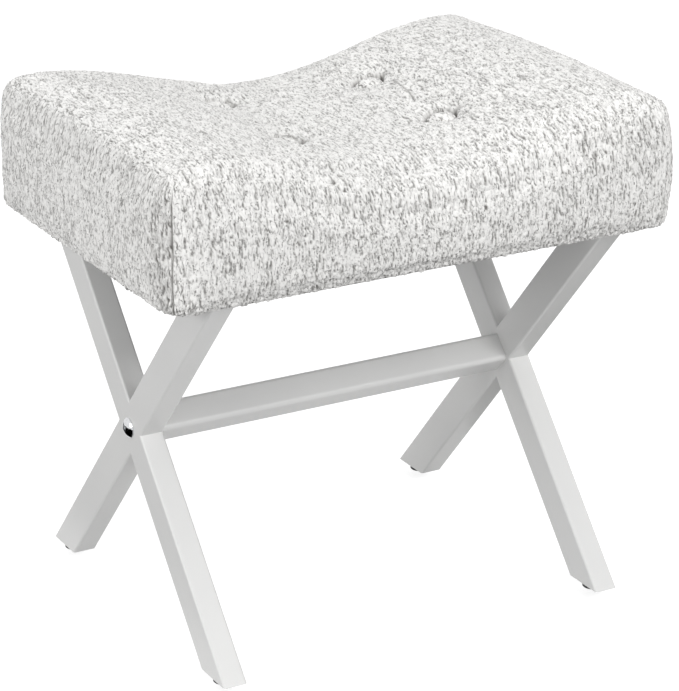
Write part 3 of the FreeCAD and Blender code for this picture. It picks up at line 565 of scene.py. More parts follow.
@dataclass(frozen=True)
class CurledCloth:
    """Off-white boucle: crinkled curls of wool with narrow slits between them, the slits and
    hollows painted dark as shade.
    """

    colour: Triple = (0.87, 0.862, 0.845)
    # Painted shade colour of the slits and crevices.
    slit_shade: Triple = (0.125, 0.117, 0.107)
    tuft: Triple = (0.93, 0.925, 0.91)
    roughness: float = 0.95
    sheen: float = 0.3
    slit_width: float = 2.7 * MM
    slit_length: float = 9.5 * MM
    # How strongly the fine slits are painted dark as shade.
    fine_slits: float = 0.85

    def fine_lines(self, bench: NodeBench) -> Socket:
        """1 on thin wandering lines over the cloth map, 0 off them; the lines are painted as dark
        slit shade and sunk in the relief.
        """
        flow = bench.place(
            (1.0 / self.slit_width, 1.0 / self.slit_length, 1.0),
            source=Coordinates.CLOTH_MAP,
        )
        bent = bench.add("ShaderNodeVectorMath", {
            0: flow, 1: bench.noise_on_map(flow, 1.3, 2.0),
        }, operation="ADD").outputs["Vector"]
        wave = bench.noise_on_map(bent, 1.0, 1.5, "Fac")
        off_line = bench.math("ABSOLUTE", bench.math("SUBTRACT", wave, 0.5), 0.0)
        return bench.span(off_line, 0.008, 0.044, 1.0, 0.0)

    def make(self) -> Material:
        """Build the finish; the crevice depth and the fine slits darken it as painted shade, and a
        crevice below 0 marks cloth that isn't on show.
        """
        material, bench, shader = new_material("looped_cloth_finish")
        where = bench.place()
        fibres = bench.noise(where, 2600.0, 3.0, 0.65)
        crinkle = bench.noise(where, 620.0, 2.0, 0.6)
        deep = bench.add("ShaderNodeAttribute", attribute_name=CREVICE_SHADE).outputs["Fac"]
        outside = bench.span(deep, -0.6, -0.1)
        plain = bench.math("SUBTRACT", bench.span(crinkle, 0.56, 0.72, 0.0, 0.6), outside)
        drawn = bench.math(
            "MULTIPLY", self.fine_lines(bench), bench.span(crinkle, 0.40, 0.58)
        )
        patchy = bench.math("MAXIMUM", bench.math("MULTIPLY", drawn, outside), plain)
        # Painted shade: darker in the crevices and along the fine slits.
        shade = bench.math(
            "MAXIMUM", bench.span(deep, 0.14, 0.95, 0.0, 0.95),
            bench.math("MULTIPLY", patchy, self.fine_slits),
        )
        body = bench.blend(bench.span(fibres, 0.35, 0.7), self.colour, self.tuft)
        height = bench.math(
            "ADD", bench.math("MULTIPLY", fibres, 0.35),
            bench.math("SUBTRACT", bench.math("MULTIPLY", crinkle, 0.7), patchy),
        )
        bench.wire(shader, {
            "Base Color": bench.blend(shade, body, self.slit_shade),
            "Normal": bench.relief(height, 0.8, 0.9 * MM), "Roughness": self.roughness,
            "Sheen Weight": self.sheen, "Sheen Roughness": 0.6, "Specular IOR Level": 0.15,
        })
        return material


@dataclass(frozen=True)
class Boucle:
    """Relief of the curls, in metres of the cloth map; the yarn runs along its second way.

    Ridges of crinkled yarn lie side by side; the slits between them wander, open and close.
    """

    pitch: float = 3.1 * MM
    slit_run: float = 4.2 * MM
    nub: float = 2.5 * MM
    nub_run: float = 2.3
    nub_gap: float = 0.34
    height: float = 2.1 * MM
    mean: float = 0.74
    wander: float = 1.5 * MM
    seed: int = 11

    def slits(self, across: Array, along: Array, seed: int) -> tuple[Array, Array]:
        """Ridge profile and how open the slit beside a place is, both from 0 to 1."""
        wide, tight = 5.2 * MM, 2.3 * MM
        bent = across + self.wander * (
            drift(across / wide, along / wide, seed)
            + 0.55 * drift(across / tight, along / tight, seed + 1)
        )
        strand = bent / self.pitch
        line = np.round(strand)
        off = np.clip(np.abs(strand - line) * 2.0, 0.0, 1.0)
        shift = 40.0 * scatter(line, np.zeros_like(line), seed + 2)
        gate = drift(line, along / self.slit_run + shift, seed + 3)
        return np.sin(0.5 * math.pi * off), smooth_step(-0.25, 0.35, gate)

    def layers(self, across: Array, along: Array) -> tuple[Array, Array]:
        """Height of the curls and how deep a place lies between them, the depth painting shade into
        the cloth's colour.

        Args:
            across: place across the yarn, metres.
            along: place along the yarn, metres.

        Returns:
            Height from 0 to 1, and depth from 0 to 1.
        """
        ridge, opened = self.slits(across, along, self.seed)
        wide = 6.0 * MM
        bent = across + self.wander * drift(across / wide, along / wide, self.seed + 5)
        near, following = curls(bent / self.nub, along / (self.nub_run * self.nub), self.seed + 6)
        knot = 1.0 - np.exp(-(following - near) / self.nub_gap)
        rough = drift(across / (1.1 * MM), along / (1.5 * MM), self.seed + 7)
        height = self.mean + (ridge - self.mean) * (0.15 + 0.85 * opened)
        height = 0.50 * height + 0.50 * knot + 0.10 * rough
        gap = np.clip(1.0 - ridge, 0.0, 1.0) ** 1.6 * opened
        # Painted shade: the depth darkens the slits and the hollows between the curls.
        depth = np.clip(0.90 * gap + 0.32 * (1.0 - knot) ** 1.5 - 0.05 * rough, 0.0, 1.0)
        return height, depth


# ---------------------------------------------------------------- cushion

@dataclass(frozen=True)
class Tuft:
    """One tuft: where its axis meets the saddle, and the way it leans."""

    right: int
    back: int
    x: float = 67.0 * MM
    y: float = 57.0 * MM
    z: float = 398.8 * MM
    tilt: float = 11.5

    def point(self) -> Array:
        """Point of the axis on the saddle."""
        return np.array([self.right * self.x, self.back * self.y, self.z])

    def frame(self) -> Array:
        """Right, back and up directions of the tuft, one row each."""
        turn = math.radians(self.tilt)
        up = np.array([-self.right * math.sin(turn), 0.0, math.cos(turn)])
        right = np.array([math.cos(turn), 0.0, self.right * math.sin(turn)])
        return np.array([right, [0.0, 1.0, 0.0], up])

    def name(self) -> str:
        """Name of the tuft's button in the frame."""
        return f"tuft_button_{SIDES[self.right > 0]}_{ENDS[self.back < 0]}"

    def place_in(self, points: Array) -> tuple[Array, Array]:
        """Distance from the axis and angle about it of some points."""
        local = (points - self.point()) @ self.frame().T
        return np.hypot(local[:, 0], local[:, 1]), np.arctan2(local[:, 1], local[:, 0])


TUFTS = tuple(Tuft(right, back) for right in (-1, 1) for back in (-1, 1))


@dataclass(frozen=True)
class Pleat:
    """Crease of the cloth that runs out from a tuft.

    Its angle is in radians, its reach and depth in millimetres, its width a share.
    """

    angle: float
    reach: float
    depth: float
    width: float

    def nearness(self, radius: Array, angle: Array) -> Array:
        """How near a place about the tuft's axis is to the pleat, 1 at its root."""
        side = (angle - self.angle + math.pi) % (2 * math.pi) - math.pi
        tight = self.width * 0.014 / np.maximum(radius, 0.006)
        fade = np.exp(-np.clip(radius - 0.0125, 0, 1) / (self.reach * MM) * 2.0)
        return bell(side / tight) * fade * (radius > 0.009)


PLEATS = (
    Pleat(0.0, 13.0, 2.2, 0.24), Pleat(math.pi, 13.0, 2.2, 0.24), Pleat(0.55, 10.0, 1.5, 0.16),
    Pleat(-2.6, 10.0, 1.5, 0.16), Pleat(1.6, 6.0, 0.8, 0.2), Pleat(-1.3, 7.0, 0.9, 0.2),
)


@dataclass(frozen=True)
class HemRing:
    """One turn of the hem: half sizes, corner radius and height, in metres."""

    half_x: float
    half_y: float
    corner: float
    level: float


HEM_RINGS = (
    HemRing(0.2126, 0.1535, 0.012, 0.3090), HemRing(0.2090, 0.1512, 0.010, 0.3090),
    HemRing(0.2086, 0.1508, 0.010, 0.3090), HemRing(0.1912, 0.1302, 0.003, 0.3090),
    HemRing(0.1900, 0.1290, 0.003, 0.3098), HemRing(0.1902, 0.1292, 0.003, 0.3111),
    HemRing(0.2152, 0.1542, 0.0122, 0.3112), HemRing(0.2153, 0.1543, 0.0123, 0.3238),
)


@dataclass
class Cushion:
    """Boxed saddle cushion of curled cloth with four tufts and a turned-in hem."""

    cloth: Material
    half_length: float = 219.8 * MM
    half_depth: float = 161.3 * MM
    underside: float = 309.0 * MM
    rise: float = 107.0 * MM
    dip: float = 30.0 * MM
    crest_reach: float = 200.0 * MM
    crown: float = 5.0 * MM
    side_bulge: float = 3.0 * MM
    end_bulges: tuple[float, float] = (0.4 * MM, 4.6 * MM)
    side_draw: float = 2.0 * MM
    corner: float = 18.0 * MM
    back_corner: float = 25.0 * MM
    low_corner: float = 8.0 * MM
    cell: float = 4.0 * MM
    tuft_reach: float = 44.0 * MM
    tuft_rim: float = 14.5 * MM
    tuft_wall: float = 11.4 * MM
    tuft_sink: float = 2.6 * MM
    tuft_floor: float = 12.3 * MM
    tuft_level: float = 0.37
    pressure: float = 4.0
    frames: int = 20
    most_swell: float = 3.4 * MM
    seam_depth: float = 1.8 * MM
    seam_width: float = 1.3 * MM
    fold: tuple[tuple[float, float], ...] = ((79.2, 36.8), (67.2, -18.1))
    fold_width: float = 0.9 * MM
    rail_room: Triple = (159.2 * MM, 180.8 * MM, 150.9 * MM)
    rail_level: float = 0.3108
    boucle: Boucle = field(default_factory=Boucle)
    map_size: float = 0.92

    def make(self) -> Piece:
        """Returns:
            The finished cushion.
        """
        piece = self.block()
        self.lay_map(piece)
        self.round_block(piece)
        self.sink_tufts(piece)
        self.swell(piece)
        self.drop_underside(piece)
        subdivide_surface(piece)
        self.curl(piece)
        self.turn_hem(piece)
        finish_piece(piece, "cushion", self.cloth, ("seat_cover", "seat_foam"))
        return piece

    def flats(self) -> Array:
        """Half sizes of the plan inside its rounded corners, along X and Y."""
        return np.array([self.half_length - self.corner, self.half_depth - self.corner])

    def block(self) -> Piece:
        """Block cut into even cells along its three ways."""
        piece = new_cube()
        runs = (2 * self.half_length, 2 * self.half_depth, self.rise)
        for axis, run in enumerate(runs):
            cut_edges(piece, axis, round(run / self.cell) - 1)
        return piece

    def arc_run(self, share: Array, half: float) -> Array:
        """Length along a face from its middle out to a share of its half, over its corner."""
        place = share * half
        flat = half - self.corner
        beyond = np.clip(np.abs(place) - flat, 0.0, self.corner)
        return np.sign(place) * (
            np.minimum(np.abs(place), flat) + self.corner * np.arctan(beyond / self.corner)
        )

    def lay_map(self, piece: Piece) -> None:
        """Lay the cover's panels out flat, in metres over the map's size.

        The strip over the top, front and back is one panel; each end is another.
        """
        mesh = piece.data
        corner_points, face_of_loop, _ = loops_of(mesh)
        normal = read(mesh.polygons, "normal", 3)
        way = np.argmax(np.abs(normal), axis=1)[face_of_loop]
        sign = np.sign(normal[face_of_loop, way])
        share = points_of(piece)[corner_points]
        x_run = self.arc_run(share[:, 0], self.half_length)
        y_run = self.arc_run(share[:, 1], self.half_depth)
        height = self.top_edge(share[:, 0] * self.half_length) - self.underside
        drop = (1.0 - share[:, 2]) / 2.0 * (height - (1 - math.pi / 4) * self.corner)
        edge = float(self.arc_run(np.ones(1), self.half_depth)[0])
        on_top, on_end, under = way == 2, way == 0, (way == 2) & (sign < 0)
        end_up = (share[:, 2] + 1) / 2 * (height - 0.004)
        side_along = np.sign(share[:, 1]) * (edge + drop)
        end_shift = np.where(sign < 0, 0.03, 0.18)
        cases = [under, on_end, on_top]
        across = np.select(cases, [share[:, 0] * 0.1, y_run, x_run], x_run)
        along = np.select(cases, [share[:, 1] * 0.08, end_up, y_run], side_along)
        shift_x = np.select(cases, [0.7, 0.685, 0.245], 0.245)
        shift_y = np.select(cases, [0.5, end_shift, 0.29], 0.29)
        mesh.uv_layers.new(name=CLOTH_MAP)
        write_map(mesh, np.stack([across + shift_x, along + shift_y], axis=1) / self.map_size)

    def top_edge(self, x: Array) -> Array:
        """Height of the top edge at places along X."""
        inside = np.clip(np.abs(x) / self.crest_reach, 0.0, 1.0)
        return self.underside + self.rise - self.dip * np.cos(math.pi / 2 * inside) ** 2

    def round_block(self, piece: Piece) -> None:
        """Move the block's points to the rounded saddle form."""
        share = points_of(piece)
        flat_x, flat_y = self.flats()
        x, y = share[:, 0] * self.half_length, share[:, 1] * self.half_depth
        z = (share[:, 2] + 1) / 2 * self.rise
        held = np.stack([
            np.clip(x, -flat_x, flat_x), np.clip(y, -flat_y, flat_y),
            np.minimum(z, self.rise - self.corner),
        ], axis=1)
        reach = np.stack([x, y, z], axis=1) - held
        length = np.linalg.norm(reach, axis=1)
        plan = np.maximum(np.abs(reach[:, 0]), np.abs(reach[:, 1]))
        outer = np.maximum(plan, reach[:, 2])
        upper = held + reach / np.maximum(length, TINY)[:, None] * outer[:, None]
        plan_length = np.hypot(reach[:, 0], reach[:, 1])
        outward = reach[:, :2] / np.maximum(plan_length, TINY)[:, None]
        new_out, new_z = self.round_low_edge(plan - self.corner, z)
        moved = held[:, :2] + outward * (new_out + self.corner)[:, None]
        low_or_side = (z < self.low_corner) | (z < self.rise - self.corner)
        points = np.where(low_or_side[:, None], np.column_stack([moved, new_z]), upper)
        self.ease_back_corners(points)
        self.saddle(points)
        set_points(piece, points)

    def round_low_edge(self, out: Array, z: Array) -> tuple[Array, Array]:
        """Round the block's lowest edge.

        Args:
            out: how far points lie outside the block's sides.
            z: height of the points in the block.

        Returns:
            The rounded distance outwards and height.
        """
        centre_out, centre_up = -self.low_corner, self.low_corner
        arm = np.stack([out - centre_out, z - centre_up], axis=1)
        span = np.maximum(np.abs(arm[:, 0]), np.abs(arm[:, 1]))
        turned = (z < self.low_corner) & (out > -self.low_corner)
        scale = np.where(turned, span / np.maximum(np.linalg.norm(arm, axis=1), TINY), 1.0)
        return (
            np.where(turned, centre_out + arm[:, 0] * scale, out),
            np.where(turned, centre_up + arm[:, 1] * scale, z),
        )

    def ease_back_corners(self, points: Array) -> None:
        """Round the two upright back corners more than the front ones, in place."""
        wide = self.back_corner
        centre = np.array([self.half_length - wide, self.half_depth - wide])
        arm = np.stack([np.abs(points[:, 0]) - centre[0], points[:, 1] - centre[1]], axis=1)
        outside = (arm > TINY).all(axis=1)
        arm = arm[outside]
        way = arm / np.linalg.norm(arm, axis=1)[:, None]
        inset = wide - self.corner
        lean = inset * way.sum(axis=1)
        curved = lean + np.sqrt(np.maximum(lean ** 2 - 2 * inset ** 2 + self.corner ** 2, 0))
        straight = wide / way.max(axis=1)
        on_side = straight * way.min(axis=1) < inset
        eased = arm * (wide / np.where(on_side, straight, curved))[:, None]
        sign = np.sign(points[outside, 0])
        points[outside, 0] = sign * (centre[0] + eased[:, 0])
        points[outside, 1] = centre[1] + eased[:, 1]

    def saddle(self, points: Array) -> None:
        """Bend a straight rounded block to the saddle, in place."""
        x, y, z = points.T.copy()
        fall = self.top_edge(x) - self.underside - self.rise
        wall = np.clip((z - self.low_corner) / (self.rise - self.corner - self.low_corner), 0, 1)
        middle = 0.5 * (self.rise + fall)
        level = z + fall * wall
        belly = np.clip(1.0 - ((level - middle) / middle) ** 2, 0.0, 1.0)
        near_side = smooth_step(0.75, 1.0, np.abs(y) / self.half_depth)
        near_end = smooth_step(0.75, 1.0, np.abs(x) / self.half_length)
        draw = self.side_draw * np.cos(math.pi * x / (2 * self.half_length)) ** 2
        points[:, 1] += np.sign(y) * near_side * (self.side_bulge * belly - draw)
        end_bulge = np.where(x < 0, *self.end_bulges)
        points[:, 0] += np.sign(x) * near_end * end_bulge * belly
        on_top = smooth_step(self.rise - self.corner, self.rise - 0.2 * self.corner, z)
        arch = np.clip(1.0 - (y / (self.half_depth - self.corner)) ** 2, 0.0, 1.0)
        points[:, 2] = self.underside + level + self.crown * arch * on_top

    def sink_tufts(self, piece: Piece) -> None:
        """Sink the wide soft dimples round the four buttons."""
        points = points_of(piece)
        above = smooth_step(0.6, 0.9, normals_of(piece)[:, 2])
        for tuft in TUFTS:
            radius, _ = tuft.place_in(points)
            fade = 1.0 - np.clip((radius - self.tuft_rim) / (self.tuft_reach - self.tuft_rim), 0, 1)
            sink = self.tuft_sink * fade ** 2 * (1.6 - 0.6 * fade) * above
            points -= sink[:, None] * tuft.frame()[2]
        set_points(piece, points)

    def swell(self, piece: Piece) -> None:
        """Blow the cover up gently as cloth, held at its underside and its tufts."""
        only(piece)
        before = points_of(piece)
        pins = before[:, 2] < self.underside + self.low_corner
        for tuft in TUFTS:
            near = tuft.place_in(before)[0] < self.tuft_rim
            pins |= near & (before[:, 2] > self.tuft_level)
        group = piece.vertex_groups.new(name="held")
        group.add([int(k) for k in np.flatnonzero(pins)], 1.0, "REPLACE")
        modifier = piece.modifiers.new("cloth", "CLOTH")
        settings = modifier.settings
        settings.quality = 6
        settings.mass = 0.3
        settings.tension_stiffness = 18.0
        settings.compression_stiffness = 18.0
        settings.shear_stiffness = 6.0
        settings.bending_stiffness = 0.6
        settings.use_pressure = True
        settings.uniform_pressure_force = self.pressure
        settings.vertex_group_mass = "held"
        settings.effector_weights.gravity = 0.0
        modifier.collision_settings.use_collision = False
        scene = bpy.context.scene
        for number in range(1, self.frames + 1):
            scene.frame_set(number)
        seen = piece.evaluated_get(bpy.context.evaluated_depsgraph_get())
        move = points_of(seen) - before
        scene.frame_set(1)
        piece.modifiers.remove(modifier)
        piece.vertex_groups.remove(group)
        far = np.linalg.norm(move, axis=1)
        LOG.info("cover swells by up to %.1f mm", far.max() / MM)
        move *= (np.minimum(far, self.most_swell) / np.maximum(far, TINY))[:, None]
        set_points(piece, before + move)

    def drop_underside(self, piece: Piece) -> None:
        """Remove the block's flat underside, where the hem is turned in later."""
        facing = read(piece.data.polygons, "normal", 3)[:, 2]
        height = read(piece.data.polygons, "center", 3)[:, 2]
        under = (facing < -0.9) & (height < self.underside + 0.3 * MM)
        select_parts(piece, Part.FACE, under)
        with editing():
            bpy.ops.mesh.delete(type="FACE")

    def cloth_places(self, piece: Piece) -> Array:
        """Place of each corner point in the cloth map, in metres."""
        mesh = piece.data
        places = np.zeros((len(mesh.vertices), 2))
        places[loops_of(mesh)[0]] = read_map(mesh)
        return places * self.map_size

    def curl(self, piece: Piece) -> None:
        """Sink the tufts' walls, pleats and seams, raise the curls of the cloth, and keep how deep
        each place lies as painted shade.
        """
        points, normals = points_of(piece), normals_of(piece)
        places = self.cloth_places(piece)
        height, depth = self.boucle.layers(places[:, 0], places[:, 1])
        patch = drift(places[:, 0] / 0.03, places[:, 1] / 0.03, 91)
        low = smooth_step(self.underside + 0.016, self.underside + 0.004, points[:, 2])
        curly = 1.0 + 1.2 * low
        lift = self.boucle.height * (0.9 + 0.25 * patch) * curly * (height - 0.66)
        seam = self.seam_nearness(points)
        sag = self.seam_depth * seam ** 2
        wrinkle = self.corner_wrinkles(points)
        points += normals * (lift * (1.0 - 0.4 * seam) - sag + wrinkle)[:, None]
        # Painted shade in the groove of the corner seams.
        depth = np.maximum(depth, 0.8 * seam ** 3)
        # Painted shade on the end panels beside the front seams.
        depth += self.painted_corner_shade(points)
        top = normals[:, 2] > 0.3
        for tuft in TUFTS:
            sink, crease_shade = self.tuft_creases(tuft, points)
            points -= (sink * top)[:, None] * tuft.frame()[2]
            # Painted shade in the tuft's dimple and pleats.
            depth = np.maximum(depth, crease_shade * top)
        fold = self.fold_nearness(points) * top
        points[:, 2] -= 0.9 * MM * fold
        # Painted shade along the thin fold.
        depth = np.maximum(depth, 0.95 * fold)
        set_points(piece, points)
        store_crevice_shade(piece, depth)

    def tuft_creases(self, tuft: Tuft, points: Array) -> tuple[Array, Array]:
        """Wall, pleats and creases of the cloth round one tuft.

        Args:
            tuft: the tuft.
            points: corner points of the cushion.

        Returns:
            How far the cloth sinks, in metres, and how deep it lies, from 0 to 1, which darkens the
            cloth as painted shade.
        """
        radius, angle = tuft.place_in(points)
        wall = 1.0 - smooth_step(self.tuft_wall, self.tuft_rim, radius)
        sink = (self.tuft_floor - self.tuft_sink) * wall
        # Painted shade: darker down the dimple's wall and in each pleat.
        depth = 0.6 * smooth_step(15.5 * MM, 12.0 * MM, radius)
        for pleat in PLEATS:
            near = pleat.nearness(radius, angle)
            sink = sink + pleat.depth * MM * near
            depth = np.maximum(depth, 0.75 * pleat.depth / 1.6 * near)
        if tuft.right < 0:
            bent = radius + 1.3 * MM * drift(angle / 0.22, radius / 0.004, 83)
            ring = bell((bent - 15.2 * MM) / (1.4 * MM))
            last = 1.0 if tuft.back > 0 else 1.9
            far = smooth_step(-0.4, 0.1, angle) * smooth_step(last, 0.6 * last, angle)
            far = far * smooth_step(-1.2, 0.0, drift(angle / 0.16, np.zeros_like(angle), 29))
            sink = sink + 0.9 * MM * ring * far
            # Painted shade in the crescent crease beyond the left buttons.
            depth = np.maximum(depth, 0.9 * ring * far)
        return sink, depth

    def seam_nearness(self, points: Array) -> Array:
        """How near a point is to an upright corner seam, 1 on it."""
        over_x, over_y = (np.abs(points[:, :2]) - self.flats()).T
        gap = np.abs(over_x - over_y) / math.sqrt(2)
        on_corner = (over_x > 0) & (over_y > 0)
        top = self.top_edge(points[:, 0])
        height = smooth_step(top - 0.004, top - 0.022, points[:, 2])
        return np.where(on_corner, bell(gap / self.seam_width), 0.0) * height

    def fold_nearness(self, points: Array) -> Array:
        """How near a point is to the thin fold between the two right tufts, 1 on it."""
        start, end = np.array(self.fold) * MM
        way = end - start
        along = np.clip((points[:, :2] - start) @ way / (way ** 2).sum(), 0, 1)
        bow = 2.0 * MM * np.sin(math.pi * along)
        line = start + along[:, None] * way + np.stack([bow, 0 * bow], axis=1)
        return bell(np.hypot(*(points[:, :2] - line).T) / self.fold_width)

    def painted_corner_shade(self, points: Array) -> Array:
        """Painted shade: darker crinkles of the end panels close to the front seams."""
        flat_x, flat_y = self.flats()
        over_x, over_y = np.abs(points[:, 0]) - flat_x, -points[:, 1] - flat_y
        beside = (over_x > over_y) * smooth_step(-0.020, 0.006, over_y)
        low = 1.0 - smooth_step(0.385, 0.405, points[:, 2])
        speckle = drift(points[:, 1] / 0.0028, points[:, 2] / 0.004, 73)
        return beside * low * (0.12 + 0.22 * np.maximum(speckle, 0.0))

    def corner_wrinkles(self, points: Array) -> Array:
        """Soft upright puckers beside the corner seams, in metres outwards."""
        over_x, over_y = (np.abs(points[:, :2]) - self.flats()).T
        beside = np.exp(-(np.maximum(-over_x, 0) + np.maximum(-over_y, 0)) / 0.014)
        low = 1.0 - smooth_step(0.39, 0.41, points[:, 2])
        across = (points[:, 0] - points[:, 1]) / 0.007
        return 0.7 * MM * beside * low * drift(across, points[:, 2] / 0.016, 57)

    def extrude_rim(self, piece: Piece) -> tuple[Array, Array]:
        """Extrude the open rim once.

        Returns:
            The new corner points and, for each, the one that it was drawn from.
        """
        only(piece)
        before = len(piece.data.vertices)
        with editing():
            select_rim()
            bpy.ops.mesh.extrude_edges_move()
        pairs = np.sort(edges_of(piece), axis=1)
        bridge = pairs[(pairs[:, 0] < before) & (pairs[:, 1] >= before)]
        return bridge[:, 1], bridge[:, 0]

    def turn_hem(self, piece: Piece) -> None:
        """Turn the cover's hem in under the board and close the board's room."""
        rail_low, rail_high, rail_end = self.rail_room
        flats = self.flats()
        source = {}
        start = points_of(piece)
        for number, ring in enumerate(HEM_RINGS):
            new, old = self.extrude_rim(piece)
            points = points_of(piece)
            roots = np.array([source.get(int(k), int(k)) for k in old])
            held = np.clip(start[roots, :2], -flats, flats)
            reach = start[roots, :2] - held
            reach /= np.linalg.norm(reach, axis=1)[:, None]
            inner = np.array([ring.half_x - ring.corner, ring.half_y - ring.corner])
            plan = held / flats * inner + reach * ring.corner
            out_x, out_y = np.abs(plan).T
            under_rail = (
                (out_x > rail_low) & (out_x < rail_high) & (out_y < rail_end)
                & (ring.level < self.rail_level)
            )
            height = np.where(under_rail, self.rail_level, ring.level)
            points[new] = np.column_stack([plan, height])
            set_points(piece, points)
            source.update({int(n): int(r) for n, r in zip(new, roots)})
            self.map_ring(piece, new, number)
        with editing():
            select_rim()
            bpy.ops.mesh.edge_face_add()
        face_ups(piece)
        crevice = piece.data.attributes[CREVICE_SHADE].data
        depth = read(crevice, "value", 1, np.float32)
        depth[len(start):] = -1.0
        crevice.foreach_set("value", depth)

    def map_ring(self, piece: Piece, new: Array, number: int) -> None:
        """Give the faces of one hem ring their own band of the cloth map.

        Args:
            piece: the cushion.
            new: the ring's corner points.
            number: the ring's number, from the outside in.
        """
        mesh = piece.data
        corner_points, face_of_loop, sizes = loops_of(mesh)
        is_new = np.zeros(len(mesh.vertices), dtype=bool)
        is_new[new] = True
        fresh = np.isin(face_of_loop, np.unique(face_of_loop[is_new[corner_points]]))
        points = points_of(piece)[corner_points]
        angle = np.arctan2(points[:, 1] / self.half_depth, points[:, 0] / self.half_length)
        centre = np.bincount(face_of_loop, np.abs(angle)) / sizes
        angle = np.where(centre[face_of_loop] > 3.0, np.abs(angle), angle)
        laid = read_map(mesh)
        band = 0.42 + 0.055 * number
        laid[fresh, 0] = 0.56 + (angle[fresh] + math.pi) / (2 * math.pi) * 0.42
        laid[fresh, 1] = band + np.where(is_new[corner_points[fresh]], 0.045, 0.0)
        write_map(mesh, laid)


@dataclass
class TuftButtons:
    """Four covered buttons, each drawn into its tuft."""

    cloth: Material
    radius: float = 11.6 * MM
    back: float = -11.6 * MM
    top: float = -4.0 * MM
    cuts: int = 9
    rim_share: float = 0.3
    back_share: float = 0.2
    map_step: float = 0.02
    boucle: Boucle = field(default_factory=lambda: Boucle(height=0.85 * MM, seed=31))

    def make(self) -> list[Piece]:
        return [self.button(tuft, number) for number, tuft in enumerate(TUFTS)]

    def ball(self) -> Piece:
        """Evenly divided ball of radius 1."""
        piece = new_cube()
        only(piece)
        with editing():
            bpy.ops.mesh.subdivide(number_cuts=self.cuts)
        subdivide_surface(piece)
        points = points_of(piece)
        points /= np.linalg.norm(points, axis=1)[:, None]
        set_points(piece, points)
        return piece

    def domed(self, points: Array) -> Array:
        """Points of a ball moved to a button with a domed face and a flat back."""
        plan = np.hypot(points[:, 0], points[:, 1])
        spread = np.clip(plan, 0, 1) ** 0.8 / np.maximum(plan, 1e-6)
        thick = self.top - self.back
        above = points[:, 2]
        rim = self.rim_share * thick
        dome = 0.45 * above ** 2 + 0.55 * above
        local = points * spread[:, None] * self.radius
        local[:, 2] = np.where(
            above > 0, rim * np.clip(above * 4, 0, 1) + (thick - rim) * dome,
            -self.back_share * thick * np.clip(-above * 4, 0, 1),
        ) + self.back + self.back_share * thick
        return local

    def button(self, tuft: Tuft, number: int) -> Piece:
        """One covered button in its tuft."""
        piece = self.ball()
        points = points_of(piece)
        local = self.domed(points)
        side = np.where(points[:, 2] > -0.2, 0.0, 0.04)
        height, depth = self.boucle.layers(local[:, 0] + side + 0.05 * number, local[:, 1])
        face = smooth_step(-0.3, 0.2, points[:, 2])
        local += points * (self.boucle.height * (height - 0.62) * face)[:, None]
        set_points(piece, local @ tuft.frame() + tuft.point())
        # Painted shade between the curls of the button's face.
        store_crevice_shade(piece, depth * face)
        mesh = piece.data
        corner_points, face_of_loop, sizes = loops_of(mesh)
        mean = np.bincount(face_of_loop, points[corner_points, 2]) / sizes
        laid = local[corner_points, :2] + self.map_step
        laid[:, 0] += np.where((mean < 0)[face_of_loop], 2 * self.map_step, 0.0)
        mesh.uv_layers[0].name = CLOTH_MAP
        write_map(mesh, laid)
        finish_piece(
            piece, "covered_" + tuft.name(), self.cloth, (tuft.name(),)
        )
        return piece


@dataclass
class TuftingTwine:
    """Two-ply strand from each button down through the board."""

    finish: Material
    ply: float = 0.40 * MM
    lay: float = 3.2 * MM
    sides: int = 8
    steps_per_turn: int = 10

    def make(self) -> Piece:
        low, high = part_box("tufting_twine")
        radius = 0.8 * MM
        strands = [
            self.strand(x, y, low[2], high[2] - low[2], turn)
            for x in (low[0] + radius, high[0] - radius)
            for y in (low[1] + radius, high[1] - radius)
            for turn in (0.0, math.pi)
        ]
        deselect()
        for strand in strands:
            strand.select_set(True)
        bpy.context.view_layer.objects.active = strands[0]
        bpy.ops.object.join()
        piece = bpy.context.object
        face_ups(piece)
        finish_piece(piece, "two_ply_twine", self.finish, ("tufting_twine",))
        return piece

    def strand(self, x: float, y: float, foot: float, rise: float, turn: float) -> Piece:
        """One ply, a helix about an upright line.

        Args:
            x: the line's place along X.
            y: the line's place along Y.
            foot: height of its lower end.
            rise: its height.
            turn: where round the line it starts, in radians.

        Returns:
            The ply, closed at both ends.
        """
        deselect()
        bpy.ops.mesh.primitive_circle_add(
            vertices=self.sides, radius=self.ply, fill_type="NGON",
            location=(self.ply, 0, 0), rotation=(math.pi / 2, 0, 0),
        )
        piece = bpy.context.object
        apply_place(piece)
        turns = rise / self.lay
        modifier = piece.modifiers.new("wind", "SCREW")
        modifier.angle = 2 * math.pi * turns
        modifier.screw_offset = rise
        modifier.steps = round(turns * self.steps_per_turn)
        modifier.render_steps = modifier.steps
        modifier.use_merge_vertices = True
        modifier.merge_threshold = 1e-6
        bpy.ops.object.modifier_apply(modifier="wind")
        piece.location = (x, y, foot)
        piece.rotation_euler = (0, 0, turn)
        apply_place(piece)
        return piece


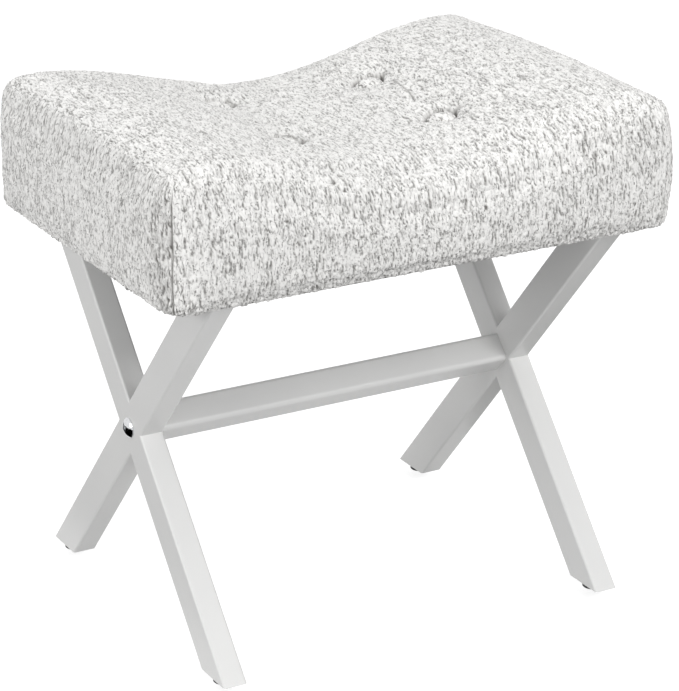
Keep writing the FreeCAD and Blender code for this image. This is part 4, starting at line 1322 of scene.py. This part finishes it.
@dataclass
class DustCover:
    """Black lining stretched under the board, inside the hem, with holes for the screws."""

    finish: Material
    half_x: float = 189.3 * MM
    half_y: float = 128.3 * MM
    level: float = 311.1 * MM
    thickness: float = 0.4 * MM
    cuts: tuple[int, int] = (75, 51)
    hole: float = 3.6 * MM
    screw_head: float = 5.5 * MM

    def make(self) -> Piece:
        piece = new_cube()
        piece.scale = (self.half_x, self.half_y, self.thickness / 2)
        piece.location = (0, 0, self.level)
        apply_place(piece)
        for axis, cuts in enumerate(self.cuts):
            cut_edges(piece, axis, cuts)
        points = points_of(piece)
        wave = drift(points[:, 0] / 0.045, points[:, 1] / 0.06, 5)
        ends = smooth_step(1.0, 0.9, np.abs(points[:, 0]) / self.half_x)
        sides = smooth_step(1.0, 0.9, np.abs(points[:, 1]) / self.half_y)
        clear = smooth_step(0.157, 0.150, np.abs(points[:, 0]))
        points[:, 2] -= ends * sides * clear * (0.9 + 0.5 * wave) * MM
        set_points(piece, points)
        low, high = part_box("seat_screws")
        head = self.screw_head
        for x in (low[0] + head, high[0] - head):
            for y in (low[1] + head, high[1] - head):
                self.pierce(piece, x, y)
        finish_piece(piece, "dust_lining", self.finish, ("dust_cover",))
        return piece

    def pierce(self, piece: Piece, x: float, y: float) -> None:
        """Cut one round hole through the sheet."""
        deselect()
        bpy.ops.mesh.primitive_cylinder_add(
            vertices=32, radius=self.hole, depth=0.02, location=(x, y, self.level)
        )
        punch = bpy.context.object
        only(piece)
        modifier = piece.modifiers.new("hole", "BOOLEAN")
        modifier.operation = "DIFFERENCE"
        modifier.solver = "EXACT"
        modifier.object = punch
        bpy.ops.object.modifier_apply(modifier="hole")
        bpy.data.objects.remove(punch)


# ---------------------------------------------------------------- dressing of the frame

@dataclass
class FrameDressing:
    """Finishes of the pieces that are carried over from the frame."""

    coat: Material
    plating: Material
    chrome: Material
    plastic: Material
    wood: Material

    def choose(self, name: str) -> Material | None:
        """Finish for a node by its name; None where a new piece stands for it."""
        if name in ("seat_cover", "seat_foam", "dust_cover", "tufting_twine"):
            return None
        if name.startswith("tuft_button"):
            return None
        if name.endswith("_foot_pad"):
            return self.plastic
        if name == "seat_board":
            return self.wood
        if name in ("stretcher_left_bolt", "stretcher_right_bolt"):
            return self.chrome
        if name.endswith(("_leg", "_rail")) or name == "stretcher_tube":
            return self.coat
        return self.plating

    def make(self) -> None:
        """Dress every carried-over node."""
        for name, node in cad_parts.items():
            material = self.choose(name)
            if material is None:
                continue
            if not node.material_slots:
                node.data.materials.append(material)
            for slot in node.material_slots:
                slot.material = material
            LOG.info("%s: %s", name, material.name)


# ---------------------------------------------------------------- studio

@dataclass(frozen=True)
class Lamp:
    """Soft square lamp turned towards the stool: place and side in metres, power in watts."""

    name: str
    place: Triple
    size: float
    power: float
    aim: Triple = (0, 0, 0.25)

    def make(self) -> None:
        """Hang the lamp."""
        light = bpy.data.lights.new(self.name, "AREA")
        light.shape = "SQUARE"
        light.size = self.size
        light.energy = self.power
        lamp = bpy.data.objects.new(self.name, light)
        lamp.location = self.place
        way = Vector(self.aim) - Vector(self.place)
        lamp.rotation_euler = way.to_track_quat("-Z", "Y").to_euler()
        bpy.context.scene.collection.objects.link(lamp)


LAMPS = (
    Lamp("key_light", (0.5, -2.1, 1.75), 0.8, 26.0),
    Lamp("top_light", (0.5, 0.1, 2.6), 0.9, 10.5),
    Lamp("side_light", (-2.2, -0.4, 0.95), 0.8, 15.5),
)


@dataclass
class Studio:
    """Plain white room, soft light and the photograph's camera."""

    ambient: float = 0.67
    floor_colour: float = 0.55
    floor_glow: float = 0.80
    floor_share: float = 0.42
    wide: float = 30.0
    floor_level: float = -6.2 * MM
    card: float = 1.6
    card_out: float = 1.02
    card_back: float = 0.40
    card_level: float = -4 * MM
    camera_place: Triple = (-1.0212, -1.8420, 1.0055)
    camera_pitch: float = 21.005
    camera_turn: float = -29.268
    lens: float = 145.04
    sensor: float = 36.0
    shift: float = -0.003

    def make(self) -> None:
        """Build the studio."""
        self.world()
        self.floor()
        for lamp in LAMPS:
            lamp.make()
        self.dark_cards()
        self.camera()
        settings = bpy.context.scene.view_settings
        settings.view_transform = "Standard"

    def seen_white(self, bench: NodeBench) -> Socket:
        """1 for rays of the camera, of gloss and of glass; 0 for the others."""
        path = bench.add("ShaderNodeLightPath")
        seen = bench.math("MAXIMUM", path.outputs["Is Camera Ray"], path.outputs["Is Glossy Ray"])
        return bench.math("MAXIMUM", seen, path.outputs["Is Transmission Ray"])

    def world(self) -> None:
        """White surround, dimmer as a light than as a backdrop."""
        world = bpy.data.worlds.new("white_room")
        bpy.context.scene.world = world
        world.use_nodes = True
        bench = NodeBench(world.node_tree)
        background = next(n for n in world.node_tree.nodes if n.type == "BACKGROUND")
        bench.wire(background, {
            "Color": (1.0, 1.0, 1.0, 1.0),
            "Strength": bench.span(self.seen_white(bench), 0.0, 1.0, self.ambient, 1.0),
        })

    def floor(self) -> None:
        """White floor that keeps a faint shadow, clear when it is seen from below."""
        deselect()
        bpy.ops.mesh.primitive_plane_add(size=self.wide, location=(0, 0, self.floor_level))
        floor = bpy.context.object
        floor.name = "studio_floor"
        material = bpy.data.materials.new("studio_floor_finish")
        material.use_nodes = True
        material.node_tree.nodes.clear()
        bench = NodeBench(material.node_tree)
        plain, dim = (
            bench.add("ShaderNodeBsdfDiffuse", {"Color": (*[grey] * 3, 1.0)}).outputs[0]
            for grey in (self.floor_colour, self.floor_share)
        )
        glow = bench.add("ShaderNodeEmission", {"Strength": self.floor_glow}).outputs[0]
        lit = bench.add("ShaderNodeAddShader", {0: dim, 1: glow}).outputs[0]
        mixed = bench.add("ShaderNodeMixShader", {
            0: self.seen_white(bench), 1: plain, 2: lit,
        }).outputs[0]
        sided = bench.add("ShaderNodeMixShader", {
            0: bench.add("ShaderNodeNewGeometry").outputs["Backfacing"], 1: mixed,
            2: bench.add("ShaderNodeBsdfTransparent").outputs[0],
        }).outputs[0]
        bench.add("ShaderNodeOutputMaterial", {"Surface": sided})
        floor.data.materials.append(material)

    def dark_cards(self) -> None:
        """Black card on the floor at either side, which only the chrome bolts show."""
        material, bench, shader = new_material("studio_card_finish")
        bench.wire(shader, {"Base Color": (0.0, 0.0, 0.0, 1.0), "Specular IOR Level": 0.0})
        for name, side in zip(SIDES, (-1, 1)):
            deselect()
            bpy.ops.mesh.primitive_plane_add(
                size=self.card,
                location=(side * self.card_out, self.card_back, self.card_level),
            )
            card = bpy.context.object
            card.name = f"studio_card_{name}"
            card.data.materials.append(material)
            card.visible_camera = False
            card.visible_diffuse = False
            card.visible_shadow = False
            card.visible_transmission = False

    def camera(self) -> None:
        """Camera at the photograph's place."""
        data = bpy.data.cameras.new("photo_camera")
        data.lens = self.lens
        data.sensor_width = self.sensor
        data.shift_x = self.shift
        camera = bpy.data.objects.new("photo_camera", data)
        camera.location = self.camera_place
        camera.rotation_euler = (
            math.radians(90.0 - self.camera_pitch), 0.0, math.radians(self.camera_turn)
        )
        bpy.context.scene.collection.objects.link(camera)
        bpy.context.scene.camera = camera


def main() -> None:
    """Build the stool's looks in order."""
    logging.basicConfig(level=logging.INFO, format="%(name)s %(message)s")
    cloth = CurledCloth().make()
    Cushion(cloth).make()
    TuftButtons(cloth).make()
    TuftingTwine(WAXED_TWINE.make()).make()
    DustCover(LiningCloth().make()).make()
    FrameDressing(
        POWDER_COAT.make(), ZINC.make(), CHROME.make(), BLACK_PLASTIC.make(), Plywood().make(),
    ).make()
    Studio().make()


if __name__ == "__main__":
    main()
